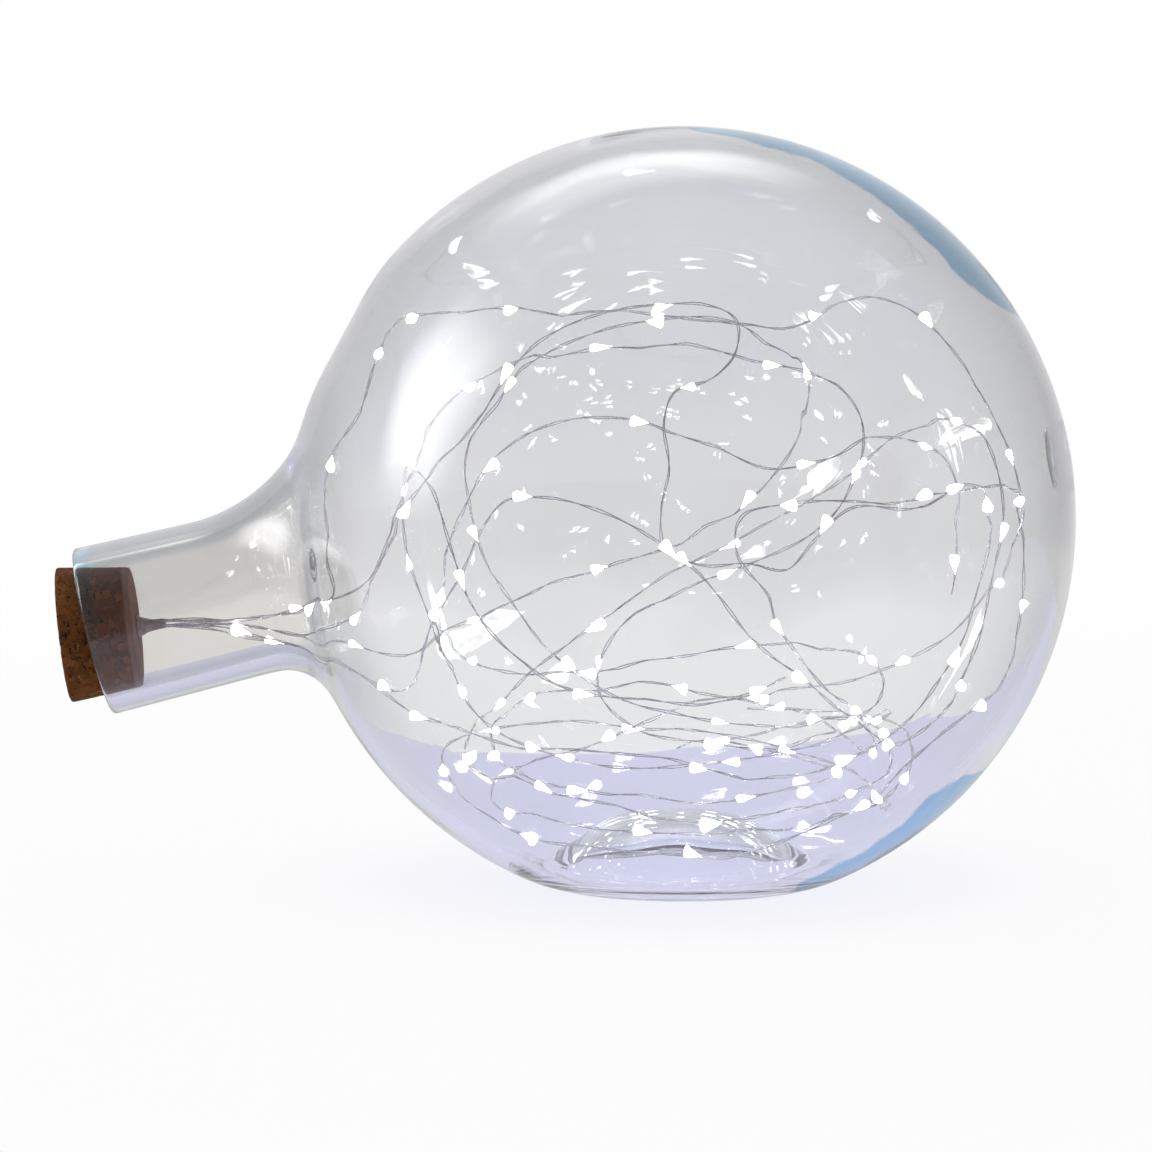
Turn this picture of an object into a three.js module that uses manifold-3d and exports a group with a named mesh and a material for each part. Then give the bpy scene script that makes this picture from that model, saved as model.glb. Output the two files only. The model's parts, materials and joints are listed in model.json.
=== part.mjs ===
// A ball lamp of blown glass that lies on its side, closed by a tapered cork.
// The cork holds a twist-open battery module.
// Strands of small lights leave it and loop inside the glass.
// Millimetres, +Z up. The neck points to -X and slopes down; the ball stands on a flat ring under it.

import * as THREE from "three";
import { mergeVertices } from "three/addons/utils/BufferGeometryUtils.js";
import Module from "manifold-3d";

const wasm = await Module();
wasm.setup();

// Glass
const BALL_RADIUS = 100;
const BALL_WALL = 3.6;
const BALL_CENTRE_HEIGHT = 93;
const NECK_AXIS_SLOPE = 9.5; // degrees below level, where the neck leaves the ball
const NECK_BEND = 4.4; // degrees further down, at the mouth
const BEND_FROM_CENTRE = 96; // where the bend starts, along the axis
const BEND_LENGTH = 18;
const NECK_LENGTH = 39.3; // from the end of the bend to the mouth
const NECK_FLARE = 0.7; // by how much the mouth is wider than the neck
const NECK_WALL = 4.4;
const SHOULDER_FILLET_ABOVE = 32;
const SHOULDER_FILLET_BELOW = 15;
const SHOULDER_FLAT = 1.5; // how far the ball is pulled in, above the shoulder
const SHOULDER_FLAT_REACH = 52; // degrees from the neck's axis
const LIP_ROUNDING = 1.4;
const RING_OUTER_RADIUS = 35;
const RING_INNER_RADIUS = 31;
const HEEL_SLOPE = 11; // degrees, of the band between the ring and the ball
const PUNT_HEIGHT = 14.5; // how far the base is pushed up, underneath
const BASE_WALL = 5;

// Cork
const CORK_WALL = 2.7; // round the battery case, at the inner end
const CORK_TAPER = 2; // by how much the outer end is wider
const CORK_SLACK = 1.2; // round the inner end, in the bore of the neck
const CORK_PROUD = 7.6; // how much of it stands out of the mouth
const CORK_LEAN = 7.2; // degrees, towards the top of the bore
const CORK_EDGE = 0.7;
const CORK_FLOOR = 3;

// Fits
const SEAT_GAP = 0.15; // between pieces that rest on each other
const FIT_GAP = 0.3; // round pieces that fit in a hole or turn in one

// Battery module
const CASE_WALL = 1.5;
const CASE_FLOOR = 1.2;
const COLLAR_WALL = 1.4; // round the grooves in the thicker mouth of the case, which holds the cap
const COLLAR_HEIGHT = 3.3;
const COLLAR_SUNK = 0.2; // below the face of the cork
const BOARD_THICKNESS = 1;
const CHIP_SIZE = [3, 1.6, 0.9];
const RESISTOR_SIZE = [2, 1.2, 0.5];
const PARTS_FROM_CENTRE = 7.2;
const LOWER_SPRING_HEIGHT = 1.3;
const LOWER_SPRING_LENGTH = 11;
const CELL_RADIUS = 10;
const CELL_THICKNESS = 3.2;
const CELL_CROWN_RADIUS = 8.8;
const CELL_CROWN_STEP = 0.35;
const STRIP_WIDTH = 2.6;
const STRIP_THICKNESS = 0.3;
const STRIP_FOOT = 1.6;
const STRIP_TONGUE = 2.2;
const SPRING_FOOT = 1.4;
const UPPER_SPRING_HEIGHT = 0.8;
const UPPER_SPRING_LENGTH = 9;
const SWITCH_HEIGHT = 2.5;
const SWITCH_BASE = 0.8;
const SWITCH_SLACK = 0.4; // round its base, within the skirt of the cap
const SWITCH_BOSS_RADIUS = 5.4;
const CAP_PLATE = 1.4;
const CAP_SKIRT = 1.1;
const CAP_SKIRT_WALL = 0.9;
const LUG_COUNT = 3;
const LUG_REACH = 1.9;
const LUG_THICKNESS = 1;
const LUG_ANGLE = 28; // degrees that a lug covers
const CAP_TURN = 32; // degrees from locked to free
const GRIP_RADIUS = 1.5; // of the two dimples that a coin or fingertips turn the cap by
const GRIP_FROM_CENTRE = 7;
const GRIP_DEPTH = 0.8;
const BUTTON_RADIUS = 2.9;
const BUTTON_FLANGE_RADIUS = 4;
const BUTTON_FLANGE = 0.5;
const BUTTON_STEM_RADIUS = 1.4;
const BUTTON_SUNK = 0.15;
const BUTTON_TRAVEL = 1;

// Wire way
const WIRE_HOLE_RADIUS = 1.5;
const SEAL_BASE_RADIUS = 2.9;
const SEAL_NOSE_RADIUS = 2;
const SEAL_LENGTH = 7.2;

// Strands of lights
const STRAND_DIAMETER = 0.6; // over its two enamelled wires, twisted together
const STRANDS_FROM_CENTRE = 0.95; // in the bundle, as they leave the cork
const LIGHT_SPACING = 44;
const LIGHTS_PER_STRAND = 20;
const LIGHT_RADIUS = 1.3; // of the clear drop moulded over each light
const LIGHT_LENGTH = 4.4;
const STRAND_TAIL = 2; // past the last light

// How each strand was laid. It leaves the bundle at an angle from the top, towards the back, in degrees.
// In the neck its points are [x, y, z] from the ball's centre.
// In the ball they are [degrees round from the front, degrees up, depth under the inside of the glass].
const STRANDS = [
  {
    leavesAt: 0,
    firstLight: 54.3,
    neck: [
      [-124, 0, -25.7], [-116, 0, -25.8], [-107, -1, -25], [-98, -4, -23.5],
    ],
    ball: [
      [-84, -12, 6], [-85, -4, 5], [-84, 5, 5], [-76, 13, 5], [-68, 20, 5], [-78, 29, 6], [-100, 33, 6],
      [-125, 33, 6], [-150, 32, 6], [-175, 30, 6], [158, 29, 6], [146, 34, 6], [134, 36, 6],
      [124, 34, 6], [118, 28, 6], [112, 17, 6], [104, 3, 6], [98, -8, 6], [88, -18, 6], [74, -26, 6],
      [60, -31, 6], [50, -38, 6], [46, -48, 6], [30, -56, 6], [8, -60, 6], [-20, -61, 6], [-50, -58, 6],
      [-80, -50, 6], [-110, -44, 6], [-140, -42, 6], [-170, -44, 6], [160, -47, 6], [130, -51, 6],
      [100, -54, 6], [76, -54, 8], [56, -50, 9], [34, -44, 9],
    ],
  },
  {
    leavesAt: -60,
    firstLight: 71.3,
    neck: [
      [-124, -0.9, -26.1], [-116, -1, -26.4], [-106, -3, -26.8], [-96, -9, -27.5],
    ],
    ball: [
      [-72, -13, 9], [-62, -6, 10], [-54, 4, 10], [-48, 12, 10], [-42, 18, 10], [-39, 24, 10],
      [-35, 31, 10], [-28, 37, 10], [-18, 41, 10], [-6, 43, 10], [4, 43, 10], [10, 40, 10], [9, 34, 10],
      [4, 29, 10], [-2, 27, 10], [-4, 22, 10], [-3, 15, 10], [-4, 8, 10], [-3, 2, 10], [3, -1, 10],
      [10, -1, 10], [16, -2, 10], [21, 2, 10], [28, 7, 10], [40, 7, 10], [52, 9, 10], [66, 8, 10],
      [80, 4, 10], [93, -3, 10], [105, -14, 10], [120, -26, 10], [138, -34, 10], [158, -38, 10],
      [180, -42, 10], [-160, -48, 10], [-135, -52, 10], [-108, -54, 10], [-80, -56, 10], [-45, -56, 10],
      [-10, -57, 10], [20, -58, 10], [50, -57, 10], [78, -52, 10], [102, -45, 10], [124, -42, 12],
      [146, -45, 12], [168, -50, 12], [-168, -56, 12],
    ],
  },
  {
    leavesAt: -120,
    firstLight: 31.3,
    neck: [
      [-124, -0.9, -27.2], [-116, -1, -27.8], [-109, -2.6, -29.5], [-101, -6, -30.5], [-91, -12, -32.2],
    ],
    ball: [
      [-72, -28, 10], [-60, -24, 13], [-50, -14, 14], [-42, -4, 14], [-37, 4, 14], [-32, 9, 14],
      [-24, 10, 14], [-15, 8, 14], [-7, 4, 14], [-2, 0, 14], [4, -6, 14], [9, -12, 14], [14, -17, 14],
      [21, -22, 14], [30, -28, 14], [43, -35, 14], [59, -39, 14], [76, -36, 14], [90, -27, 14],
      [97, -14, 14], [95, 1, 14], [104, 13, 14], [122, 15, 14], [140, 8, 14], [157, -3, 14],
      [175, -13, 14], [-166, -24, 14], [-148, -34, 14], [-125, -42, 14], [-98, -47, 14], [-68, -48, 14],
      [-42, -50, 14], [-15, -55, 14], [12, -58, 14], [38, -58, 14], [64, -55, 14], [90, -50, 14],
      [116, -46, 16], [140, -44, 16], [164, -44, 16], [-172, -48, 16],
    ],
  },
  {
    leavesAt: 180,
    firstLight: 40.3,
    neck: [
      [-124, 0, -27.8], [-116, 0.2, -29], [-110, 0.6, -31], [-103.5, 1, -32.4], [-95.5, 1.3, -33.4],
      [-88, 0, -37.3],
    ],
    ball: [
      [-80, -35, 12], [-66, -40, 17], [-48, -42, 19], [-28, -41, 19], [-10, -43, 19], [8, -47, 19],
      [28, -50, 19], [50, -47, 19], [70, -38, 19], [84, -24, 19], [88, -8, 19], [80, 5, 19], [62, 9, 19],
      [46, 8, 19], [33, 9, 19], [18, 9, 19], [10, 7, 19], [9, 1, 19], [14, -7, 19], [20, -17, 19],
      [30, -27, 19], [44, -35, 21], [62, -44, 22], [84, -51, 20], [112, -52, 19], [140, -47, 19],
      [166, -43, 19], [-168, -41, 19], [-142, -42, 19], [-116, -46, 19], [-92, -52, 19], [-64, -54, 19],
      [-36, -55, 19], [-8, -57, 19], [20, -59, 19], [48, -58, 20], [76, -58, 21], [104, -60, 21],
      [132, -60, 21], [160, -58, 21], [-172, -54, 21],
    ],
  },
  {
    leavesAt: 120,
    firstLight: 61.3,
    neck: [
      [-124, 0.9, -27.2], [-116, 1.2, -27.6], [-108, 3.2, -29], [-98, 8, -31],
    ],
    ball: [
      [-105, -27, 14], [-118, -26, 21], [-132, -24, 24], [-145, -22, 24], [-158, -18, 24],
      [-172, -14, 24], [172, -7, 24], [160, 3, 24], [152, 15, 24], [150, 27, 24], [160, 36, 24],
      [178, 40, 24], [-162, 38, 24], [-146, 32, 24], [-134, 22, 24], [-126, 9, 25], [-128, -6, 27],
      [-134, -20, 28], [-143, -34, 26], [-158, -45, 24], [178, -52, 24], [148, -54, 24], [118, -50, 24],
      [92, -44, 24], [66, -42, 24], [42, -46, 24], [18, -50, 24], [-8, -53, 24], [-36, -52, 24],
      [-64, -46, 24], [-88, -38, 24], [-104, -24, 24], [-101, -8, 24], [-88, 6, 24], [-73, 13, 24],
      [-60, 8, 24], [-52, -4, 24], [-45, -17, 24], [-33, -27, 24], [-17, -31, 24], [0, -32, 24],
      [16, -30, 24], [30, -23, 24], [42, -12, 24],
    ],
  },
  {
    leavesAt: 60,
    firstLight: 49.3,
    neck: [
      [-124, 0.9, -26.1], [-116, 1.2, -26.2], [-107, 3.5, -25.5], [-97, 9, -24.5],
    ],
    ball: [
      [-98, -12, 14], [-98, 2, 22], [-92, 15, 27], [-80, 27, 29], [-60, 37, 29], [-36, 43, 29],
      [-10, 46, 29], [14, 44, 29], [34, 38, 29], [46, 29, 29], [44, 19, 29], [36, 9, 29], [26, 2, 29],
      [14, -3, 29], [1, -7, 29], [-11, -13, 29], [-20, -23, 29], [-22, -35, 29], [-10, -45, 29],
      [12, -51, 29], [40, -53, 29], [70, -48, 29], [98, -40, 29], [126, -35, 29], [154, -36, 29],
      [-178, -40, 29], [-150, -42, 29], [-122, -40, 29], [-98, -32, 29], [-78, -21, 29], [-64, -8, 29],
      [-56, 5, 29], [-48, 16, 29], [-37, 24, 29], [-24, 28, 29], [-10, 27, 29], [4, 22, 29],
      [17, 17, 29], [31, 18, 28], [44, 21, 26.5], [58, 20, 26], [72, 13, 26], [82, 0, 26], [84, -14, 26],
      [77, -26, 26], [66, -35, 26],
    ],
  },
];

// Each piece is as wide as what it holds needs. The case holds the cells, the cork holds the case,
// and the neck holds the cork.
const CASE_BORE = CELL_RADIUS + STRIP_THICKNESS + 2 * FIT_GAP;
const CASE_RADIUS = CASE_BORE + CASE_WALL;
const CAP_RADIUS = CASE_BORE - FIT_GAP;
const SKIRT_BORE = CAP_RADIUS - CAP_SKIRT_WALL;
const GROOVE_RADIUS = CAP_RADIUS + LUG_REACH + FIT_GAP;
const COLLAR_RADIUS = GROOVE_RADIUS + COLLAR_WALL;
const SWITCH_RADIUS = SKIRT_BORE - SWITCH_SLACK;
const CORK_INNER_RADIUS = CASE_RADIUS + FIT_GAP + CORK_WALL;
const CORK_OUTER_RADIUS = CORK_INNER_RADIUS + CORK_TAPER;
const BORE_RADIUS = CORK_INNER_RADIUS + CORK_SLACK;
const NECK_RADIUS = BORE_RADIUS + NECK_WALL; // outside, where the shoulder ends

// Heights in the stopper, outward along the cork's axis from the middle of the mouth.
// The module is stacked down from the face of its cap, and the cork is as long as the module needs.
const CORK_FACE = CORK_PROUD;
const COLLAR_FACE = CORK_FACE - COLLAR_SUNK;
const PLATE_LOW = COLLAR_FACE - CAP_PLATE;
const LUG_LOW = PLATE_LOW - CAP_SKIRT;
const SWITCH_TOP = PLATE_LOW - SEAT_GAP;
const SWITCH_LOW = SWITCH_TOP - SWITCH_HEIGHT;
const UPPER_SPRING_LOW = SWITCH_LOW - SEAT_GAP - UPPER_SPRING_HEIGHT;
const UPPER_CELL_LOW = UPPER_SPRING_LOW - SEAT_GAP - CELL_THICKNESS;
const LOWER_CELL_LOW = UPPER_CELL_LOW - SEAT_GAP - CELL_THICKNESS;
const LOWER_SPRING_LOW = LOWER_CELL_LOW - SEAT_GAP - LOWER_SPRING_HEIGHT;
const BOARD_LOW = LOWER_SPRING_LOW - SEAT_GAP - BOARD_THICKNESS;
const CASE_INSIDE = BOARD_LOW - SEAT_GAP;
const CASE_BOTTOM = CASE_INSIDE - CASE_FLOOR;
const CORK_SEAT = CASE_BOTTOM - SEAT_GAP;
const CORK_END = CORK_SEAT - CORK_FLOOR;
const SEAL_SEAT = CORK_END - SEAT_GAP;
const SEAL_NOSE = SEAL_SEAT - SEAL_LENGTH;

// Facets
const MERIDIANS = 34;
const ROUND_SIDES = 28;
const SMALL_SIDES = 16;
const STRAND_SIDES = 6;
const STEPS_BETWEEN_LIGHTS = 3;

const radians = THREE.MathUtils.degToRad;

// Solids and meshes

function solidOf(geometry) {
  const plain = geometry.clone();
  plain.deleteAttribute("normal");
  plain.deleteAttribute("uv");
  const merged = mergeVertices(plain, 1e-4);
  return new wasm.Manifold(
    new wasm.Mesh({
      numProp: 3,
      vertProperties: merged.attributes.position.array,
      triVerts: new Uint32Array(merged.index.array),
    }),
  );
}

function geometryOf(solid) {
  const mesh = solid.getMesh();
  const geometry = new THREE.BufferGeometry();
  geometry.setAttribute("position", new THREE.BufferAttribute(mesh.vertProperties, 3));
  geometry.setIndex(new THREE.BufferAttribute(mesh.triVerts, 1));
  geometry.computeVertexNormals();
  return geometry;
}

function cut(geometry, ...tools) {
  return geometryOf(tools.reduce((solid, tool) => solid.subtract(solidOf(tool)), solidOf(geometry)));
}

function join(geometry, ...others) {
  return geometryOf(others.reduce((solid, other) => solid.add(solidOf(other)), solidOf(geometry)));
}

// A closed profile of [radius, height] pairs, anticlockwise, turned about Z.
function revolve(profile, sides = ROUND_SIDES) {
  const points = profile.map(([radius, height]) => new THREE.Vector2(radius, height));
  return new THREE.LatheGeometry(points, sides).rotateX(Math.PI / 2);
}

function cylinder(radius, low, high, sides = ROUND_SIDES) {
  return revolve([[0, low], [radius, low], [radius, high], [0, high]], sides);
}

function block([x, y, z], low) {
  return new THREE.BoxGeometry(x, y, z).translate(0, 0, low + z / 2);
}

// Part of a ring about Z, from one angle to another, in degrees.
function ringSector(outer, inner, from, to, low, high) {
  const shape = new THREE.Shape();
  shape.absarc(0, 0, outer, radians(from), radians(to), false);
  shape.absarc(0, 0, inner, radians(to), radians(from), true);
  shape.closePath();
  const settings = { depth: high - low, bevelEnabled: false, curveSegments: 4 };
  return new THREE.ExtrudeGeometry(shape, settings).translate(0, 0, low);
}

// A closed skin over rings of equally many points, with a fan over each end.
function loft(rings) {
  const sides = rings[0].length;
  const first = centreOf(rings[0]);
  const last = centreOf(rings[rings.length - 1]);
  const points = [...rings.flat(), first, last];
  const firstIndex = points.length - 2;
  const lastIndex = points.length - 1;
  const faces = [];
  for (let side = 0; side < sides; side += 1) {
    const next = (side + 1) % sides;
    for (let ring = 0; ring + 1 < rings.length; ring += 1) {
      const here = ring * sides;
      const there = here + sides;
      faces.push(here + side, here + next, there + side);
      faces.push(here + next, there + next, there + side);
    }
    const end = (rings.length - 1) * sides;
    faces.push(firstIndex, next, side);
    faces.push(lastIndex, end + side, end + next);
  }
  const geometry = new THREE.BufferGeometry().setFromPoints(points);
  geometry.setIndex(faces);
  geometry.computeVertexNormals();
  return geometry;
}

function centreOf(points) {
  const sum = points.reduce((total, point) => total.add(point), new THREE.Vector3());
  return sum.divideScalar(points.length);
}

// The neck's middle line: straight from the ball's centre, one gentle bend, then straight to the mouth.
function alongNeck(distance) {
  const bend = radians(NECK_BEND);
  const bendRadius = BEND_LENGTH / bend;
  const inBend = THREE.MathUtils.clamp(distance - BEND_FROM_CENTRE, 0, BEND_LENGTH);
  const turned = inBend / bendRadius;
  const before = Math.min(distance, BEND_FROM_CENTRE);
  const after = Math.max(distance - BEND_FROM_CENTRE - BEND_LENGTH, 0);
  const forward = before + bendRadius * Math.sin(turned) + after * Math.cos(turned);
  const sideways = bendRadius * (1 - Math.cos(turned)) + after * Math.sin(turned);
  const slope = radians(NECK_AXIS_SLOPE);
  const middle = new THREE.Vector3(
    -forward * Math.cos(slope) + sideways * Math.sin(slope),
    0,
    -forward * Math.sin(slope) - sideways * Math.cos(slope),
  );
  const angle = slope + turned;
  return {
    middle,
    outward: new THREE.Vector3(-Math.cos(angle), 0, -Math.sin(angle)),
    upward: new THREE.Vector3(-Math.sin(angle), 0, Math.cos(angle)),
  };
}

const MOUTH = BEND_FROM_CENTRE + BEND_LENGTH + NECK_LENGTH;
const mouth = alongNeck(MOUTH);

// Glass ball and neck

function shoulderFillet(around) {
  const mean = (SHOULDER_FILLET_ABOVE + SHOULDER_FILLET_BELOW) / 2;
  const swing = (SHOULDER_FILLET_ABOVE - SHOULDER_FILLET_BELOW) / 2;
  return mean + swing * Math.cos(around);
}

// How far the ball is pulled in above the shoulder, at an angle from the neck's axis.
function shoulderFlat(angle, meeting, around) {
  const reach = radians(SHOULDER_FLAT_REACH);
  const share = Math.min(Math.max((angle - meeting) / (reach - meeting), 0), 1);
  return SHOULDER_FLAT * Math.sin(Math.PI * share) ** 2 * (0.5 + 0.5 * Math.cos(around)) ** 2;
}

// [distance, radius] pairs from the far side of the ball to the start of the neck.
function ballAndShoulder(ball, neck, fillet, around) {
  const shoulderEnd = Math.sqrt((ball + fillet) ** 2 - (neck + fillet) ** 2);
  const meeting = Math.atan2(neck + fillet, shoulderEnd);
  const ballSteps = 16;
  const filletSteps = 5;
  const profile = [];
  for (let step = 1; step <= ballSteps; step += 1) {
    const angle = Math.PI - ((Math.PI - meeting) * step) / ballSteps;
    const reach = ball - shoulderFlat(angle, meeting, around);
    profile.push([reach * Math.cos(angle), reach * Math.sin(angle)]);
  }
  for (let step = 1; step <= filletSteps; step += 1) {
    const angle = meeting + ((Math.PI / 2 - meeting) * step) / filletSteps;
    profile.push([shoulderEnd - fillet * Math.cos(angle), neck + fillet - fillet * Math.sin(angle)]);
  }
  return profile;
}

// The far end of the profile is a small ring, which the loft closes with a fan.
function flaskSkin(profileAt) {
  const angles = Array.from({ length: MERIDIANS }, (_, i) => (2 * Math.PI * i) / MERIDIANS);
  const profiles = angles.map((around) => profileAt(around));
  const rings = profiles[0].map((_, station) =>
    angles.map((around, i) => {
      const [distance, radius] = profiles[i][station];
      const { middle, upward } = alongNeck(distance);
      const side = new THREE.Vector3(0, 1, 0);
      return middle
        .addScaledVector(upward, radius * Math.cos(around))
        .addScaledVector(side, radius * Math.sin(around));
    }),
  );
  return loft(rings).translate(0, 0, BALL_CENTRE_HEIGHT);
}

function outerSkin() {
  const lip = NECK_RADIUS + NECK_FLARE;
  return flaskSkin((around) => [
    ...ballAndShoulder(BALL_RADIUS, NECK_RADIUS, shoulderFillet(around), around),
    [MOUTH - LIP_ROUNDING, lip],
    [MOUTH - 0.3 * LIP_ROUNDING, lip - 0.3 * LIP_ROUNDING],
    [MOUTH, lip - LIP_ROUNDING],
  ]);
}

function innerSkin() {
  const fillet = (around) => shoulderFillet(around) + BALL_WALL;
  const bore = BORE_RADIUS + NECK_FLARE;
  return flaskSkin((around) => [
    ...ballAndShoulder(BALL_RADIUS - BALL_WALL, BORE_RADIUS, fillet(around), around),
    [MOUTH - LIP_ROUNDING, bore],
    [MOUTH, bore + 0.7 * LIP_ROUNDING],
    [MOUTH + LIP_ROUNDING, bore + 0.7 * LIP_ROUNDING],
  ]);
}

// What is pressed away under the base: a flat ring, a slanted heel round it and the punt inside it.
const PUNT_SPHERE = (RING_INNER_RADIUS ** 2 + PUNT_HEIGHT ** 2) / (2 * PUNT_HEIGHT);

function puntProfile(sphere, floor) {
  const centre = PUNT_HEIGHT - PUNT_SPHERE;
  const foot = Math.acos((floor - centre) / sphere);
  const steps = 6;
  return Array.from({ length: steps + 1 }, (_, step) => {
    const angle = (foot * (steps - step)) / steps;
    return [sphere * Math.sin(angle), centre + sphere * Math.cos(angle)];
  });
}

function baseTool() {
  const reach = BALL_RADIUS / 2;
  const rise = (reach - RING_OUTER_RADIUS) * Math.tan(radians(HEEL_SLOPE));
  const below = -BALL_RADIUS / 4;
  return revolve(
    [[0, below], [reach, below], [reach, rise], [RING_OUTER_RADIUS, 0], ...puntProfile(PUNT_SPHERE, 0)],
    MERIDIANS,
  );
}

function floorTool() {
  const reach = BALL_RADIUS / 2;
  const below = -BALL_RADIUS / 4;
  const wall = puntProfile(PUNT_SPHERE + BALL_WALL, BASE_WALL);
  return revolve([[0, below], [reach, below], [reach, BASE_WALL], ...wall], MERIDIANS);
}

function glassBall() {
  const outside = solidOf(outerSkin()).subtract(solidOf(baseTool()));
  const inside = solidOf(innerSkin()).subtract(solidOf(floorTool()));
  return geometryOf(outside.subtract(inside));
}

// Cork and battery module

function corkStopper() {
  const collarHole = COLLAR_RADIUS + FIT_GAP;
  const caseHole = CASE_RADIUS + FIT_GAP;
  const collarSeat = COLLAR_FACE - COLLAR_HEIGHT - SEAT_GAP;
  const wireHole = WIRE_HOLE_RADIUS;
  return revolve([
    [wireHole, CORK_END],
    [CORK_INNER_RADIUS - CORK_EDGE, CORK_END],
    [CORK_INNER_RADIUS, CORK_END + CORK_EDGE],
    [CORK_OUTER_RADIUS, CORK_FACE - CORK_EDGE],
    [CORK_OUTER_RADIUS - CORK_EDGE, CORK_FACE],
    [collarHole, CORK_FACE],
    [collarHole, collarSeat],
    [caseHole, collarSeat],
    [caseHole, CORK_SEAT],
    [wireHole, CORK_SEAT],
    [wireHole, CORK_END],
  ]);
}

// The groove that a lug slides along is open to the face at its free end only.
function batteryCase() {
  const collarLow = COLLAR_FACE - COLLAR_HEIGHT;
  const body = revolve([
    [WIRE_HOLE_RADIUS, CASE_BOTTOM],
    [CASE_RADIUS, CASE_BOTTOM],
    [CASE_RADIUS, collarLow],
    [COLLAR_RADIUS, collarLow],
    [COLLAR_RADIUS, COLLAR_FACE],
    [CASE_BORE, COLLAR_FACE],
    [CASE_BORE, CASE_INSIDE],
    [WIRE_HOLE_RADIUS, CASE_INSIDE],
    [WIRE_HOLE_RADIUS, CASE_BOTTOM],
  ]);
  const play = 1.5;
  const grooveLow = LUG_LOW - FIT_GAP;
  const grooveHigh = LUG_LOW + LUG_THICKNESS + FIT_GAP / 2;
  const inside = CASE_BORE - 1;
  const tools = [];
  for (let lug = 0; lug < LUG_COUNT; lug += 1) {
    const start = (360 * lug) / LUG_COUNT - play;
    const free = start + CAP_TURN;
    const end = free + LUG_ANGLE + 2 * play;
    tools.push(ringSector(GROOVE_RADIUS, inside, start, end, grooveLow, grooveHigh));
    tools.push(ringSector(GROOVE_RADIUS, inside, free, end, grooveLow, COLLAR_FACE + 1));
  }
  return cut(body, ...tools);
}

function twistCap() {
  const buttonHole = BUTTON_RADIUS + FIT_GAP;
  const plate = revolve([
    [buttonHole, PLATE_LOW],
    [SKIRT_BORE, PLATE_LOW],
    [SKIRT_BORE, LUG_LOW],
    [CAP_RADIUS, LUG_LOW],
    [CAP_RADIUS, COLLAR_FACE],
    [buttonHole, COLLAR_FACE],
    [buttonHole, PLATE_LOW],
  ]);
  const lugs = [];
  for (let lug = 0; lug < LUG_COUNT; lug += 1) {
    const start = (360 * lug) / LUG_COUNT;
    const end = start + LUG_ANGLE;
    const reach = CAP_RADIUS + LUG_REACH;
    const root = CAP_RADIUS - 0.5 * CAP_SKIRT_WALL;
    lugs.push(ringSector(reach, root, start, end, LUG_LOW, LUG_LOW + LUG_THICKNESS));
  }
  const grips = [-1, 1].map((side) =>
    cylinder(GRIP_RADIUS, COLLAR_FACE - GRIP_DEPTH, COLLAR_FACE + 1, SMALL_SIDES)
      .translate(0, side * GRIP_FROM_CENTRE, 0),
  );
  return cut(join(plate, ...lugs), ...grips);
}

function powerButton() {
  const top = COLLAR_FACE - BUTTON_SUNK;
  const flangeHigh = SWITCH_TOP;
  const flangeLow = flangeHigh - BUTTON_FLANGE;
  const stemLow = SWITCH_LOW + SWITCH_BASE + BUTTON_TRAVEL - FIT_GAP;
  const edge = 0.3;
  return revolve([
    [0, stemLow],
    [BUTTON_STEM_RADIUS, stemLow],
    [BUTTON_STEM_RADIUS, flangeLow],
    [BUTTON_FLANGE_RADIUS, flangeLow],
    [BUTTON_FLANGE_RADIUS, flangeHigh],
    [BUTTON_RADIUS, flangeHigh],
    [BUTTON_RADIUS, top - edge],
    [BUTTON_RADIUS - edge, top],
    [0, top],
  ], SMALL_SIDES);
}

// The button's flange travels in the boss's wide bore, and its stem in the narrow one.
function clickSwitch() {
  const wideBore = BUTTON_FLANGE_RADIUS + FIT_GAP;
  const stemBore = BUTTON_STEM_RADIUS + FIT_GAP;
  const wideLow = SWITCH_TOP - BUTTON_FLANGE - BUTTON_TRAVEL - FIT_GAP;
  const baseHigh = SWITCH_LOW + SWITCH_BASE;
  return revolve([
    [0, SWITCH_LOW],
    [SWITCH_RADIUS, SWITCH_LOW],
    [SWITCH_RADIUS, baseHigh],
    [SWITCH_BOSS_RADIUS, baseHigh],
    [SWITCH_BOSS_RADIUS, SWITCH_TOP],
    [wideBore, SWITCH_TOP],
    [wideBore, wideLow],
    [stemBore, wideLow],
    [stemBore, SWITCH_LOW + 0.5 * SWITCH_BASE],
    [0, SWITCH_LOW + 0.5 * SWITCH_BASE],
  ], SMALL_SIDES);
}

function coinCell(low) {
  const high = low + CELL_THICKNESS;
  const step = low + CELL_CROWN_STEP;
  const edge = 0.3;
  return revolve([
    [0, low],
    [CELL_CROWN_RADIUS, low],
    [CELL_CROWN_RADIUS, step],
    [CELL_RADIUS - edge, step],
    [CELL_RADIUS, step + edge],
    [CELL_RADIUS, high - edge],
    [CELL_RADIUS - edge, high],
    [0, high],
  ]);
}

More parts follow.
